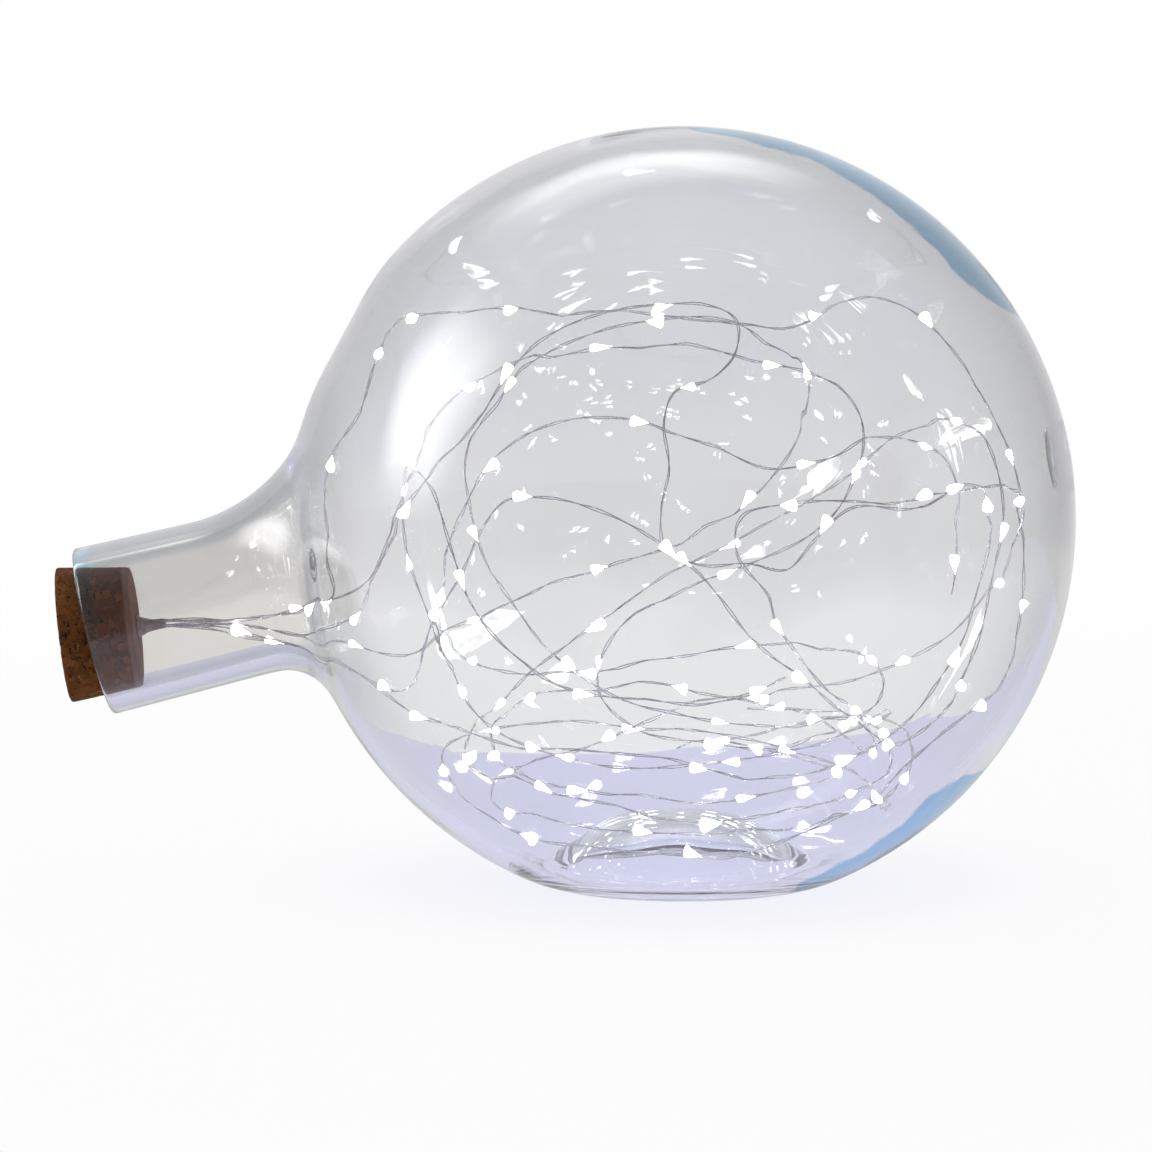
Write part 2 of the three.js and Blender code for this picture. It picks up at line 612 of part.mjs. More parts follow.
// A strip bent into a low arch, which presses on a cell.
function archSpring(low, height, length) {
  const half = length / 2;
  const foot = SPRING_FOOT;
  const outline = new THREE.Shape();
  outline.moveTo(-half, 0);
  outline.lineTo(-half + foot, 0);
  outline.quadraticCurveTo(0, 2 * (height - STRIP_THICKNESS), half - foot, 0);
  outline.lineTo(half, 0);
  outline.lineTo(half, STRIP_THICKNESS);
  outline.lineTo(half - foot, STRIP_THICKNESS);
  outline.quadraticCurveTo(0, 2 * height - STRIP_THICKNESS, -half + foot, STRIP_THICKNESS);
  outline.lineTo(-half, STRIP_THICKNESS);
  outline.closePath();
  const settings = { depth: STRIP_WIDTH, bevelEnabled: false, curveSegments: 8 };
  return new THREE.ExtrudeGeometry(outline, settings)
    .translate(0, 0, -STRIP_WIDTH / 2)
    .rotateX(Math.PI / 2)
    .translate(0, 0, low);
}

// From a foot on the board, up beside the cells, to a tongue under the switch.
function contactStrip() {
  const inner = CELL_RADIUS + FIT_GAP;
  const outer = inner + STRIP_THICKNESS;
  const low = LOWER_SPRING_LOW;
  const high = SWITCH_LOW - SEAT_GAP;
  const footEnd = inner - STRIP_FOOT;
  const tongueEnd = inner - STRIP_TONGUE;
  const outline = new THREE.Shape([
    new THREE.Vector2(footEnd, low),
    new THREE.Vector2(outer, low),
    new THREE.Vector2(outer, high),
    new THREE.Vector2(tongueEnd, high),
    new THREE.Vector2(tongueEnd, high - STRIP_THICKNESS),
    new THREE.Vector2(inner, high - STRIP_THICKNESS),
    new THREE.Vector2(inner, low + STRIP_THICKNESS),
    new THREE.Vector2(footEnd, low + STRIP_THICKNESS),
  ]);
  return new THREE.ExtrudeGeometry(outline, { depth: STRIP_WIDTH, bevelEnabled: false })
    .translate(0, 0, -STRIP_WIDTH / 2)
    .rotateX(Math.PI / 2);
}

function circuitBoard() {
  return cylinder(CASE_BORE - FIT_GAP, BOARD_LOW, BOARD_LOW + BOARD_THICKNESS);
}

// Hot-melt glue, drawn out along the wires as it sets.
function wireSeal() {
  const bore = WIRE_HOLE_RADIUS;
  const steps = 5;
  const cone = Array.from({ length: steps + 1 }, (_, step) => {
    const share = step / steps;
    const drawn = (1 - share) ** 2.4;
    const radius = SEAL_NOSE_RADIUS + (SEAL_BASE_RADIUS - SEAL_NOSE_RADIUS) * drawn;
    return [radius, SEAL_SEAT - SEAL_LENGTH * share];
  });
  return revolve([[bore, SEAL_SEAT], [bore, SEAL_NOSE], ...cone.reverse(), [bore, SEAL_SEAT]], SMALL_SIDES);
}

// Strands of lights. Each is one tube, which swells into a drop round each light.

const lean = radians(CORK_LEAN);
const corkAxis = mouth.outward
  .clone()
  .multiplyScalar(Math.cos(lean))
  .addScaledVector(mouth.upward, Math.sin(lean));
const corkTop = new THREE.Vector3(0, 1, 0).cross(corkAxis);

function inCork(around, height) {
  const angle = radians(around);
  return mouth.middle
    .clone()
    .addScaledVector(corkAxis, height)
    .addScaledVector(corkTop, STRANDS_FROM_CENTRE * Math.cos(angle))
    .add(new THREE.Vector3(0, STRANDS_FROM_CENTRE * Math.sin(angle), 0));
}

function inBall([around, up, depth]) {
  const reach = BALL_RADIUS - BALL_WALL - depth;
  const level = reach * Math.cos(radians(up));
  return new THREE.Vector3(
    level * Math.sin(radians(around)),
    -level * Math.cos(radians(around)),
    reach * Math.sin(radians(up)),
  );
}

function strandCurve({ leavesAt, neck, ball }) {
  const points = [
    inCork(leavesAt, BOARD_LOW - FIT_GAP),
    inCork(leavesAt, (BOARD_LOW + SEAL_NOSE) / 2),
    inCork(leavesAt, SEAL_NOSE - FIT_GAP),
    ...neck.map(([x, y, z]) => new THREE.Vector3(x, y, z)),
    ...ball.map(inBall),
  ];
  const curve = new THREE.CatmullRomCurve3(points, false, "centripetal");
  curve.arcLengthDivisions = 20 * points.length;
  return curve;
}

// [distance, radius] pairs along a strand.
function strandStations(firstLight) {
  const wire = STRAND_DIAMETER / 2;
  const leadSteps = 4;
  const stations = [];
  for (let step = 0; step < leadSteps; step += 1) {
    stations.push([((firstLight - LIGHT_LENGTH) * step) / leadSteps, wire]);
  }
  for (let light = 0; light < LIGHTS_PER_STRAND; light += 1) {
    const middle = firstLight + light * LIGHT_SPACING;
    const drop = middle + LIGHT_LENGTH / 2;
    const nextDrop = middle + LIGHT_SPACING - LIGHT_LENGTH / 2;
    stations.push([middle - LIGHT_LENGTH / 2, wire], [middle, LIGHT_RADIUS], [drop, wire]);
    const last = light === LIGHTS_PER_STRAND - 1;
    for (let step = 1; step < STEPS_BETWEEN_LIGHTS && !last; step += 1) {
      stations.push([drop + ((nextDrop - drop) * step) / STEPS_BETWEEN_LIGHTS, wire]);
    }
  }
  stations.push([stations[stations.length - 1][0] + STRAND_TAIL, wire]);
  return stations;
}

function lightStrand(strand) {
  const curve = strandCurve(strand);
  const length = curve.getLength();
  const normal = new THREE.Vector3(0, 1, 0);
  const rings = strandStations(strand.firstLight).map(([distance, radius]) => {
    const share = Math.min(distance / length, 1);
    const middle = curve.getPointAt(share);
    const ahead = curve.getTangentAt(share);
    normal.addScaledVector(ahead, -normal.dot(ahead)).normalize();
    const across = ahead.clone().cross(normal);
    return Array.from({ length: STRAND_SIDES }, (_, side) => {
      const angle = (2 * Math.PI * side) / STRAND_SIDES;
      return middle
        .clone()
        .addScaledVector(normal, radius * Math.cos(angle))
        .addScaledVector(across, radius * Math.sin(angle));
    });
  });
  return loft(rings).translate(0, 0, BALL_CENTRE_HEIGHT);
}

// The least space between two stretches of one strand that lie far apart along it.
function leastGap(strand) {
  const apart = 20;
  const step = 1.5;
  const curve = strandCurve(strand);
  const points = curve.getSpacedPoints(Math.round(curve.getLength() / step));
  const skip = Math.round(apart / step);
  let least = Infinity;
  points.forEach((point, i) => {
    for (let j = i + skip; j < points.length; j += 1) {
      least = Math.min(least, point.distanceTo(points[j]));
    }
  });
  return least - STRAND_DIAMETER;
}

const gaps = STRANDS.map((strand) => leastGap(strand).toFixed(1));
console.log(`least gap of each strand to itself: ${gaps.join(", ")} mm`);

// Materials

function material(color, roughness, metalness) {
  return new THREE.MeshStandardMaterial({ color, roughness, metalness });
}

const glass = new THREE.MeshStandardMaterial({
  color: 0xdce8ea,
  roughness: 0.04,
  metalness: 0,
  transparent: true,
  opacity: 0.3,
});
const cork = material(0xa8733f, 0.85, 0);
const plastic = material(0x2b2b2e, 0.45, 0);
const rubber = material(0x8d9094, 0.6, 0);
const steel = material(0xc9ccd0, 0.3, 1);
const brass = material(0xc9a55c, 0.35, 1);
const laminate = material(0x2e6b46, 0.55, 0);
const ceramic = material(0x1c1c1e, 0.5, 0);
const glue = material(0xb9a592, 0.35, 0);
const silver = material(0xb4b2ae, 0.35, 0.9);

function piece(name, geometry, finish) {
  const mesh = new THREE.Mesh(geometry, finish);
  mesh.name = name;
  return mesh;
}

// Assembly

const globe = new THREE.Group();
globe.add(
  piece("glass_globe", glassBall(), glass),
  ...STRANDS.map((strand, i) => piece(`light_strand_${i + 1}`, lightStrand(strand), silver)),
);

const stopper = new THREE.Group();
stopper.add(
  piece("cork_stopper", corkStopper(), cork),
  piece("battery_case", batteryCase(), plastic),
  piece("circuit_board", circuitBoard(), laminate),
  piece("driver_chip", block(CHIP_SIZE, LOWER_SPRING_LOW).translate(0, PARTS_FROM_CENTRE, 0), ceramic),
  piece("resistor", block(RESISTOR_SIZE, LOWER_SPRING_LOW).translate(0, -PARTS_FROM_CENTRE, 0), ceramic),
  piece("lower_spring", archSpring(LOWER_SPRING_LOW, LOWER_SPRING_HEIGHT, LOWER_SPRING_LENGTH), brass),
  piece("lower_cell", coinCell(LOWER_CELL_LOW), steel),
  piece("upper_cell", coinCell(UPPER_CELL_LOW), steel),
  piece("contact_strip", contactStrip(), brass),
  piece("upper_spring", archSpring(UPPER_SPRING_LOW, UPPER_SPRING_HEIGHT, UPPER_SPRING_LENGTH), brass),
  piece("click_switch", clickSwitch(), plastic),
  piece("twist_cap", twistCap(), plastic),
  piece("power_button", powerButton(), rubber),
  piece("wire_seal", wireSeal(), glue),
);
stopper.quaternion.setFromUnitVectors(new THREE.Vector3(0, 0, 1), corkAxis);
stopper.position.copy(mouth.middle).add(new THREE.Vector3(0, 0, BALL_CENTRE_HEIGHT));

const root = new THREE.Group();
root.add(globe, stopper);

// The origin is under the middle of the whole object, on the surface that it stands on.
const box = new THREE.Box3().setFromObject(root, true);
root.position.x = -(box.min.x + box.max.x) / 2;

export default root;
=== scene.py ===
"""A glass light globe: a blown ball that lies on its side, a cork that holds a battery module, and strands
of small lights that loop inside the glass. The pieces are finished here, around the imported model."""

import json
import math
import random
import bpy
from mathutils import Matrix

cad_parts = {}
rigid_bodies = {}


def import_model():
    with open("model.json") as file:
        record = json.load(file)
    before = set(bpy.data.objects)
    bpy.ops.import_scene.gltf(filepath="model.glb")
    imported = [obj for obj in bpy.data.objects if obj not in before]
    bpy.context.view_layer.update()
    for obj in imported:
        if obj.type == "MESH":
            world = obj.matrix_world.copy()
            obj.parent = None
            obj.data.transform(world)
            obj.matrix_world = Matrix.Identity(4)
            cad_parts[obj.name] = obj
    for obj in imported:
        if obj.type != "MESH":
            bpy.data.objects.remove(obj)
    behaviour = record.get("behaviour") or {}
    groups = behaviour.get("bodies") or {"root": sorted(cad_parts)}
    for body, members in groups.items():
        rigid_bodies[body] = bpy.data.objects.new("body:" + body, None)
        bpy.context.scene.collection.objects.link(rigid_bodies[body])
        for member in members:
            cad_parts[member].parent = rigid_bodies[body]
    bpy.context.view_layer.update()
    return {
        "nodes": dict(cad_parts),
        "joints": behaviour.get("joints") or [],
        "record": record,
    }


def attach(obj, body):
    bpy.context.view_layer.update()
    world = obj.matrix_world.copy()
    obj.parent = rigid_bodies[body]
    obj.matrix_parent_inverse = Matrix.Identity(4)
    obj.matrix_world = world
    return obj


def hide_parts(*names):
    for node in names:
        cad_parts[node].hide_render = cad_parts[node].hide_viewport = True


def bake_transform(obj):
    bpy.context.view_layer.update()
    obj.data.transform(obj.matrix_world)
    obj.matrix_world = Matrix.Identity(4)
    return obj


bl_info = {
    "name": "Light Globe",
    "version": (1, 0, 0),
    "blender": (4, 5, 0),
    "location": "View3D > Sidebar > Light Globe",
    "description": "Builds a glass light globe with a cork stopper, strands of lights and a studio",
    "category": "Add Mesh",
}

import bmesh
import bpy
from mathutils import Matrix, Vector, noise

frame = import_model()

SIDEWAYS = Vector((0, 1, 0))

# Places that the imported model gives
JOINTS = {joint["name"]: joint for joint in frame["joints"]}
BASE_RING = next(mount for mount in frame["record"]["mounts"] if mount["name"] == "base_ring")
MOUTH = Vector(JOINTS["cap_turn"]["pos_m"])
CORK_AXIS = Vector(JOINTS["cap_turn"]["axis"]).normalized()
CORK_TOP = SIDEWAYS.cross(CORK_AXIS).normalized()
CAP_TURN = JOINTS["cap_turn"]["range_deg"][1]
BALL_CENTRE_HEIGHT = 0.093
BALL_CENTRE = Vector((BASE_RING["pos_m"][0], 0, BALL_CENTRE_HEIGHT))

# Heights in the stopper, outward along the cork's axis from the middle of the mouth
CORK_FACE = 0.0076
CORK_END = -0.0114
COLLAR_FACE = 0.0074
CASE_BOTTOM = -0.00825
BOARD_LOW = -0.0069
SEAL_SEAT = -0.01155
SEAL_NOSE = -0.01875
SWITCH_TOP = 0.00515

# Sizes that several pieces share
SEAT_GAP = 0.00015
FIT_GAP = 0.0003
WIRE_HOLE = 0.0015
CASE_FLOOR = 0.0012
LUG_COUNT = 3
LUG_ANGLE = 28
LUG_REACH = 0.0019
LUG_THICKNESS = 0.001
SHARP = math.radians(35)
TOUCHING = 1e-7
ON_AXIS = 1e-6
GRANULES_PER_METRE = 560.0
OPEN_PATCHES_PER_METRE = 300
PITS_PER_METRE = 520
GRAIN_PER_METRE = 1500
LINE_STEP = 0.001
TWIST_STEP = 0.0007
SEED_STEP = 13.7

# Where the painted blue reflections on the glass begin: degrees round the ball from the right, and how edge
# on the glass must be. There is none at None.
BLUE_REFLECTIONS = (
    (-179, None), (-82, None), (-72, 0.76), (-60, 0.70), (-46, 0.67), (-40, 0.74), (-36, None),
    (27, None), (31, 0.93), (34, 0.80), (38, 0.70), (42, 0.65), (50, 0.655), (60, 0.70), (70, 0.73),
    (88, 0.80), (97, None),
)

# Where the finishes of the glass and the cork begin and are full: heights above the table, distances from
# the ball's upright axis, distances out of the mouth, and how edge on the surface is seen
LOW_GLASS = (0.065, 0.035)
BASE_GLASS = (0.030, 0.020)
PUNT_REACH = (0.030, 0.026)
PUNT_EDGE = (0.62, 0.80)
NECK_GLASS = (-0.075, -0.045)
NECK_EDGE = (0.40, 0.62)
LIP_GLASS = (-0.0024, -0.0012)
BLUE_REFLECTION_END = (0.97, 0.90)
BLUE_REFLECTION_SOFTNESS = 0.03
BLUE_REFLECTION_RAGGEDNESS = 0.16
NO_BLUE_REFLECTION = 1.3
CORK_IN_NECK = (-0.001, -0.004)
LIT_CORK_RIM = (CORK_END + 0.0022, CORK_END + 0.0012)

# How each strand was laid, in metres and degrees. It leaves the bundle at an angle from the top, towards
# the back. In the neck its points are (x, y, z) from the ball's centre. In the ball they are
# (degrees round from the front, degrees up, depth under the inside of the glass). A point without a depth
# is as deep as the one before.
STRANDS = (
    {
        "leaves_at": 0,
        "first_light": 0.0543,
        "neck": (
            (-0.124, 0, -0.0257), (-0.116, 0, -0.0258), (-0.107, -0.001, -0.025), (-0.098, -0.004, -0.0235),
        ),
        "ball": (
            (-84, -12, 0.006), (-85, -4, 0.005), (-84, 5), (-76, 13), (-68, 20), (-78, 29, 0.006),
            (-100, 33), (-125, 33), (-150, 32), (-175, 30), (158, 29), (146, 34), (134, 36), (124, 34),
            (118, 28), (112, 17), (104, 3), (98, -8), (88, -18), (74, -26), (60, -31), (50, -38), (46, -48),
            (30, -56), (8, -60), (-20, -61), (-50, -58), (-80, -50), (-110, -44), (-140, -42), (-170, -44),
            (160, -47), (130, -51), (100, -54), (76, -54, 0.008), (56, -50, 0.009), (34, -44),
        ),
    },
    {
        "leaves_at": -60,
        "first_light": 0.0713,
        "neck": (
            (-0.124, -0.0009, -0.0261), (-0.116, -0.001, -0.0264), (-0.106, -0.003, -0.0268),
            (-0.096, -0.009, -0.0275),
        ),
        "ball": (
            (-72, -13, 0.009), (-62, -6, 0.01), (-54, 4), (-48, 12), (-42, 18), (-39, 24), (-35, 31),
            (-28, 37), (-18, 41), (-6, 43), (4, 43), (10, 40), (9, 34), (4, 29), (-2, 27), (-4, 22),
            (-3, 15), (-4, 8), (-3, 2), (3, -1), (10, -1), (16, -2), (21, 2), (28, 7), (40, 7), (52, 9),
            (66, 8), (80, 4), (93, -3), (105, -14), (120, -26), (138, -34), (158, -38), (180, -42),
            (-160, -48), (-135, -52), (-108, -54), (-80, -56), (-45, -56), (-10, -57), (20, -58), (50, -57),
            (78, -52), (102, -45), (124, -42, 0.012), (146, -45), (168, -50), (-168, -56),
        ),
    },
    {
        "leaves_at": -120,
        "first_light": 0.0313,
        "neck": (
            (-0.124, -0.0009, -0.0272), (-0.116, -0.001, -0.0278), (-0.109, -0.0026, -0.0295),
            (-0.101, -0.006, -0.0305), (-0.091, -0.012, -0.0322),
        ),
        "ball": (
            (-72, -28, 0.01), (-60, -24, 0.013), (-50, -14, 0.014), (-42, -4), (-37, 4), (-32, 9),
            (-24, 10), (-15, 8), (-7, 4), (-2, 0), (4, -6), (9, -12), (14, -17), (21, -22), (30, -28),
            (43, -35), (59, -39), (76, -36), (90, -27), (97, -14), (95, 1), (104, 13), (122, 15), (140, 8),
            (157, -3), (175, -13), (-166, -24), (-148, -34), (-125, -42), (-98, -47), (-68, -48),
            (-42, -50), (-15, -55), (12, -58), (38, -58), (64, -55), (90, -50), (116, -46, 0.016),
            (140, -44), (164, -44), (-172, -48),
        ),
    },
    {
        "leaves_at": 180,
        "first_light": 0.0403,
        "neck": (
            (-0.124, 0, -0.0278), (-0.116, 0.0002, -0.029), (-0.11, 0.0006, -0.031),
            (-0.1035, 0.001, -0.0324), (-0.0955, 0.0013, -0.0334), (-0.088, 0, -0.0373),
        ),
        "ball": (
            (-80, -35, 0.012), (-66, -40, 0.017), (-48, -42, 0.019), (-28, -41), (-10, -43), (8, -47),
            (28, -50), (50, -47), (70, -38), (84, -24), (88, -8), (80, 5), (62, 9), (46, 8), (33, 9),
            (18, 9), (10, 7), (9, 1), (14, -7), (20, -17), (30, -27), (44, -35, 0.021), (62, -44, 0.022),
            (84, -51, 0.02), (112, -52, 0.019), (140, -47), (166, -43), (-168, -41), (-142, -42),
            (-116, -46), (-92, -52), (-64, -54), (-36, -55), (-8, -57), (20, -59), (48, -58, 0.02),
            (76, -58, 0.021), (104, -60), (132, -60), (160, -58), (-172, -54),
        ),
    },
    {
        "leaves_at": 120,
        "first_light": 0.0613,
        "neck": (
            (-0.124, 0.0009, -0.0272), (-0.116, 0.0012, -0.0276), (-0.108, 0.0032, -0.029),
            (-0.098, 0.008, -0.031),
        ),
        "ball": (
            (-105, -27, 0.014), (-118, -26, 0.021), (-132, -24, 0.024), (-145, -22), (-158, -18),
            (-172, -14), (172, -7), (160, 3), (152, 15), (150, 27), (160, 36), (178, 40), (-162, 38),
            (-146, 32), (-134, 22), (-126, 9, 0.025), (-128, -6, 0.027), (-134, -20, 0.028),
            (-143, -34, 0.026), (-158, -45, 0.024), (178, -52), (148, -54), (118, -50), (92, -44),
            (66, -42), (42, -46), (18, -50), (-8, -53), (-36, -52), (-64, -46), (-88, -38), (-104, -24),
            (-101, -8), (-88, 6), (-73, 13), (-60, 8), (-52, -4), (-45, -17), (-33, -27), (-17, -31),
            (0, -32), (16, -30), (30, -23), (42, -12),
        ),
    },
    {
        "leaves_at": 60,
        "first_light": 0.0493,
        "neck": (
            (-0.124, 0.0009, -0.0261), (-0.116, 0.0012, -0.0262), (-0.107, 0.0035, -0.0255),
            (-0.097, 0.009, -0.0245),
        ),
        "ball": (
            (-98, -12, 0.014), (-98, 2, 0.022), (-92, 15, 0.027), (-80, 27, 0.029), (-60, 37), (-36, 43),
            (-10, 46), (14, 44), (34, 38), (46, 29), (44, 19), (36, 9), (26, 2), (14, -3), (1, -7),
            (-11, -13), (-20, -23), (-22, -35), (-10, -45), (12, -51), (40, -53), (70, -48), (98, -40),
            (126, -35), (154, -36), (-178, -40), (-150, -42), (-122, -40), (-98, -32), (-78, -21),
            (-64, -8), (-56, 5), (-48, 16), (-37, 24), (-24, 28), (-10, 27), (4, 22), (17, 17),
            (31, 18, 0.028), (44, 21, 0.0265), (58, 20, 0.026), (72, 13), (82, 0), (84, -14), (77, -26),
            (66, -35),
        ),
    },
)


# Settings

def size(name, description, default):
    return bpy.props.FloatProperty(
        name=name, description=description, default=default, min=0, precision=5, unit="LENGTH"
    )


def angle(name, description, degrees):
    return bpy.props.FloatProperty(
        name=name, description=description, default=math.radians(degrees), subtype="ANGLE"
    )


def colour(name, description, default):
    return bpy.props.FloatVectorProperty(
        name=name, description=description, default=default, min=0, max=1, size=3, subtype="COLOR"
    )


class GlassSettings(bpy.types.PropertyGroup):
    ball_radius: size("Ball radius", "Outside radius of the ball", 0.1)
    ball_wall: size("Ball wall", "Thickness of the ball's wall", 0.0036)
    neck_radius: size("Neck radius", "Outside radius of the neck at the shoulder", 0.021)
    neck_wall: size("Neck wall", "Thickness of the neck's wall", 0.0044)
    neck_flare: size("Neck flare", "How much the mouth is wider than the neck", 0.0007)
    neck_slope: angle("Neck slope", "How far the neck points below level where it leaves the ball", 9.5)
    neck_bend: angle("Neck bend", "How far it bends further down towards the mouth", 4.4)
    bend_start: size("Bend start", "Where the bend starts, from the middle of the ball", 0.096)
    bend_length: size("Bend length", "Length of the bend", 0.018)
    neck_length: size("Neck length", "From the end of the bend to the mouth", 0.0393)
    fillet_above: size("Upper shoulder", "Radius of the shoulder above the neck", 0.032)
    fillet_below: size("Lower shoulder", "Radius of the shoulder below the neck", 0.015)
    shoulder_flat: size("Shoulder flat", "How far the ball is pulled in, above the shoulder", 0.0015)
    flat_reach: angle("Flat reach", "Where the flat ends, from the neck's axis", 52)
    lip_rounding: size("Lip rounding", "Radius of the fire-polished lip", 0.0011)
    ring_outer: size("Ring outer radius", "Outer radius of the ring that the ball stands on", 0.035)
    ring_inner: size("Ring inner radius", "Inner radius of the ring that the ball stands on", 0.031)
    heel_slope: angle("Heel slope", "Slope of the band round the ring", 11)
    punt_height: size("Punt height", "How far the base is pushed up", 0.0145)
    base_wall: size("Base wall", "Thickness of the glass over the ring", 0.005)
    wave: size("Surface wave", "How far the blown surface waves in and out", 0.00016)
    tint: colour("Tint", "Colour of light that passes two surfaces", (0.930, 0.932, 0.938))
    # Painted reflection: the blue of the right-hand rim, where the wall is seen edge on
    painted_reflection_blue: colour(
        "Streak tint", "Colour of the streaks where the wall is seen edge on", (0.09, 0.25, 0.46)
    )
    # Painted reflection: the same blue, nearer the base
    low_painted_reflection_blue: colour("Lower streak tint", "Colour of the streaks near the base", (0.11, 0.36, 0.68))
    neck_tint: colour("Neck tint", "What the thick neck takes off the tint", (0.935, 0.92, 0.89))
    neck_edge_tint: colour("Neck edge tint", "Colour of the neck's wall seen edge on", (0.62, 0.66, 0.68))
    lip_tint: colour("Lip tint", "Colour of the rounded lip", (0.66, 0.78, 0.84))
    base_tint: colour("Base tint", "Colour of the thick base", (0.962, 0.968, 0.995))
    # Painted shade: a dark band at the punt's shoulder for the dark surroundings that it refracts, over the
    # deeper tint of its thick glass
    punt_painted_shade: colour("Punt tint", "Colour of the punt's shoulder seen edge on", (0.72, 0.82, 0.86))


class StrandSettings(bpy.types.PropertyGroup):
    diameter: size("Strand diameter", "Over its two twisted wires", 0.0006)
    wire_diameter: size("Wire diameter", "Of each enamelled wire", 0.0003)
    pitch: size("Twist pitch", "Length of one turn of the two wires", 0.027)
    from_centre: size("Bundle radius", "How far each strand is from the bundle's middle", 0.00095)
    wire_gap: size("Wire gap", "The most that its two wires stand apart", 0.00035)
    kink: size("Kink", "How far the wires stray from a smooth line", 0.0011)
    light_spacing: size("Light spacing", "Between two lights", 0.044)
    light_count: bpy.props.IntProperty(
        name="Lights", description="Lights on each strand", default=20, min=2
    )
    tail: size("Tail", "Wire past the last light", 0.0042)
    wire_colour: colour("Wire colour", "Of the enamelled wire", (0.70, 0.69, 0.70))


class LightSettings(bpy.types.PropertyGroup):
    radius: size("Drop radius", "Of the resin drop over each light", 0.0020)
    length: size("Drop length", "Of the resin drop over each light", 0.0053)
    core_colour: colour("Core colour", "Of the light at the middle of a drop", (1.0, 1.0, 1.0))
    edge_colour: colour("Edge colour", "Of the light at the ends of a drop", (0.045, 0.05, 0.072))
    strength: bpy.props.FloatProperty(
        name="Strength", description="How bright the drops are", default=16.0, min=0
    )


class CorkSettings(bpy.types.PropertyGroup):
    outer_radius: size("Outer radius", "At the face of the cork", 0.0174)
    inner_radius: size("Inner radius", "At the end inside the neck", 0.0154)
    edge: size("Edge", "Rounding of the two rims", 0.0009)
    pit_depth: size("Pit depth", "Of the pits between the granules", 0.0004)
    light_colour: colour("Light granules", "Colour of the palest granules", (0.30, 0.135, 0.052))
    mid_colour: colour("Granules", "Colour of most granules", (0.172, 0.060, 0.014))
    # The part of the cork inside the neck is tinted deeper orange, with less green and blue
    pressed: colour("Pressed", "What the cork keeps of its colour inside the neck", (1.0, 0.62, 0.30))
    dark_colour: colour("Dark granules", "Colour of bark and of the gaps", (0.022, 0.010, 0.005))
    # Painted highlight: the paler rim at the inner end of the cork, where its end face catches the light
    lit_rim_colour: colour("Inner rim", "Colour of the rubbed rim inside the neck", (0.40, 0.235, 0.19))
    glue_colour: colour("Glue", "Colour of the glue that seals the wires", (0.50, 0.40, 0.38))


class ModuleSettings(bpy.types.PropertyGroup):
    case_radius: size("Case radius", "Outside radius of the battery case", 0.0124)
    case_bore: size("Case bore", "Inside radius of the battery case", 0.0109)
    collar_radius: size("Collar radius", "Of the thicker mouth of the case", 0.0142)
    collar_height: size("Collar height", "Of the thicker mouth of the case", 0.0033)
    cap_radius: size("Cap radius", "Of the cap that twists out", 0.0106)
    cap_plate: size("Cap plate", "Thickness of the cap", 0.0014)
    cap_skirt: size("Cap skirt", "Depth of the skirt under the cap", 0.0011)
    button_radius: size("Button radius", "Of the power button", 0.0029)
    plastic_colour: colour("Plastic", "Colour of the case and the cap", (0.024, 0.024, 0.026))
    rubber_colour: colour("Rubber", "Colour of the button", (0.27, 0.28, 0.29))
    steel_colour: colour("Cells", "Colour of the nickel-plated cells", (0.66, 0.665, 0.67))
    brass_colour: colour("Contacts", "Colour of the brass contacts", (0.70, 0.50, 0.23))
    board_colour: colour("Board", "Colour of the solder mask", (0.02, 0.17, 0.07))


class StageSettings(bpy.types.PropertyGroup):
    camera_distance: size("Camera distance", "From the plane of the ball's middle", 2.0)
    camera_lens: bpy.props.FloatProperty(
        name="Lens", description="Focal length in millimetres", default=245.3, min=1
    )
    bounces: bpy.props.IntProperty(
        name="Bounces", description="How often light may turn inside the glass", default=48, min=1
    )
    camera_height: angle("Camera angle", "How far the camera looks down", 7)
    aim_left: size("Aim left", "How far the camera looks past the ball, towards the neck", 0.0272)
    aim_down: size("Aim down", "How far the camera looks below the middle of the ball", 0.0145)
    floor_radius: size("Floor radius", "Of the pale floor", 0.9)
    floor_colour: colour("Floor colour", "Of the pale floor", (0.995, 0.995, 0.995))
    pool_colour: colour("Light pool", "Of the floor under the lights", (0.745, 0.75, 0.945))
    background: colour("Background", "Of the backdrop", (1, 1, 1))


# Meshes

def closed_piece(name, points, faces, material, sharp_angle=None):
    """A mesh object of one closed skin with its faces pointing out."""
    mesh = bpy.data.meshes.new(name)
    mesh.from_pydata([tuple(point) for point in points], [], faces)
    shape = bmesh.new()
    shape.from_mesh(mesh)
    bmesh.ops.remove_doubles(shape, verts=shape.verts, dist=TOUCHING)
    if shape.calc_volume(signed=True) < 0:
        bmesh.ops.reverse_faces(shape, faces=shape.faces)
    shape.to_mesh(mesh)
    shape.free()
    mesh.shade_smooth()
    if sharp_angle is not None:
        mesh.set_sharp_from_angle(angle=sharp_angle)
    mesh.materials.append(material)
    return link_piece(name, mesh)


def link_piece(name, mesh):
    piece = bpy.data.objects.new(name, mesh)
    bpy.context.scene.collection.objects.link(piece)
    return piece


def plain_mesh_of(name, source):
    """The evaluated shape of an object as a mesh of its own, and the source removed."""
    bpy.context.view_layer.update()
    evaluated = source.evaluated_get(bpy.context.evaluated_depsgraph_get())
    mesh = bpy.data.meshes.new_from_object(evaluated)
    mesh.name = name
    bpy.data.objects.remove(source)
    if not mesh.polygons:
        raise RuntimeError(f"{name} came out empty")
    return link_piece(name, mesh)


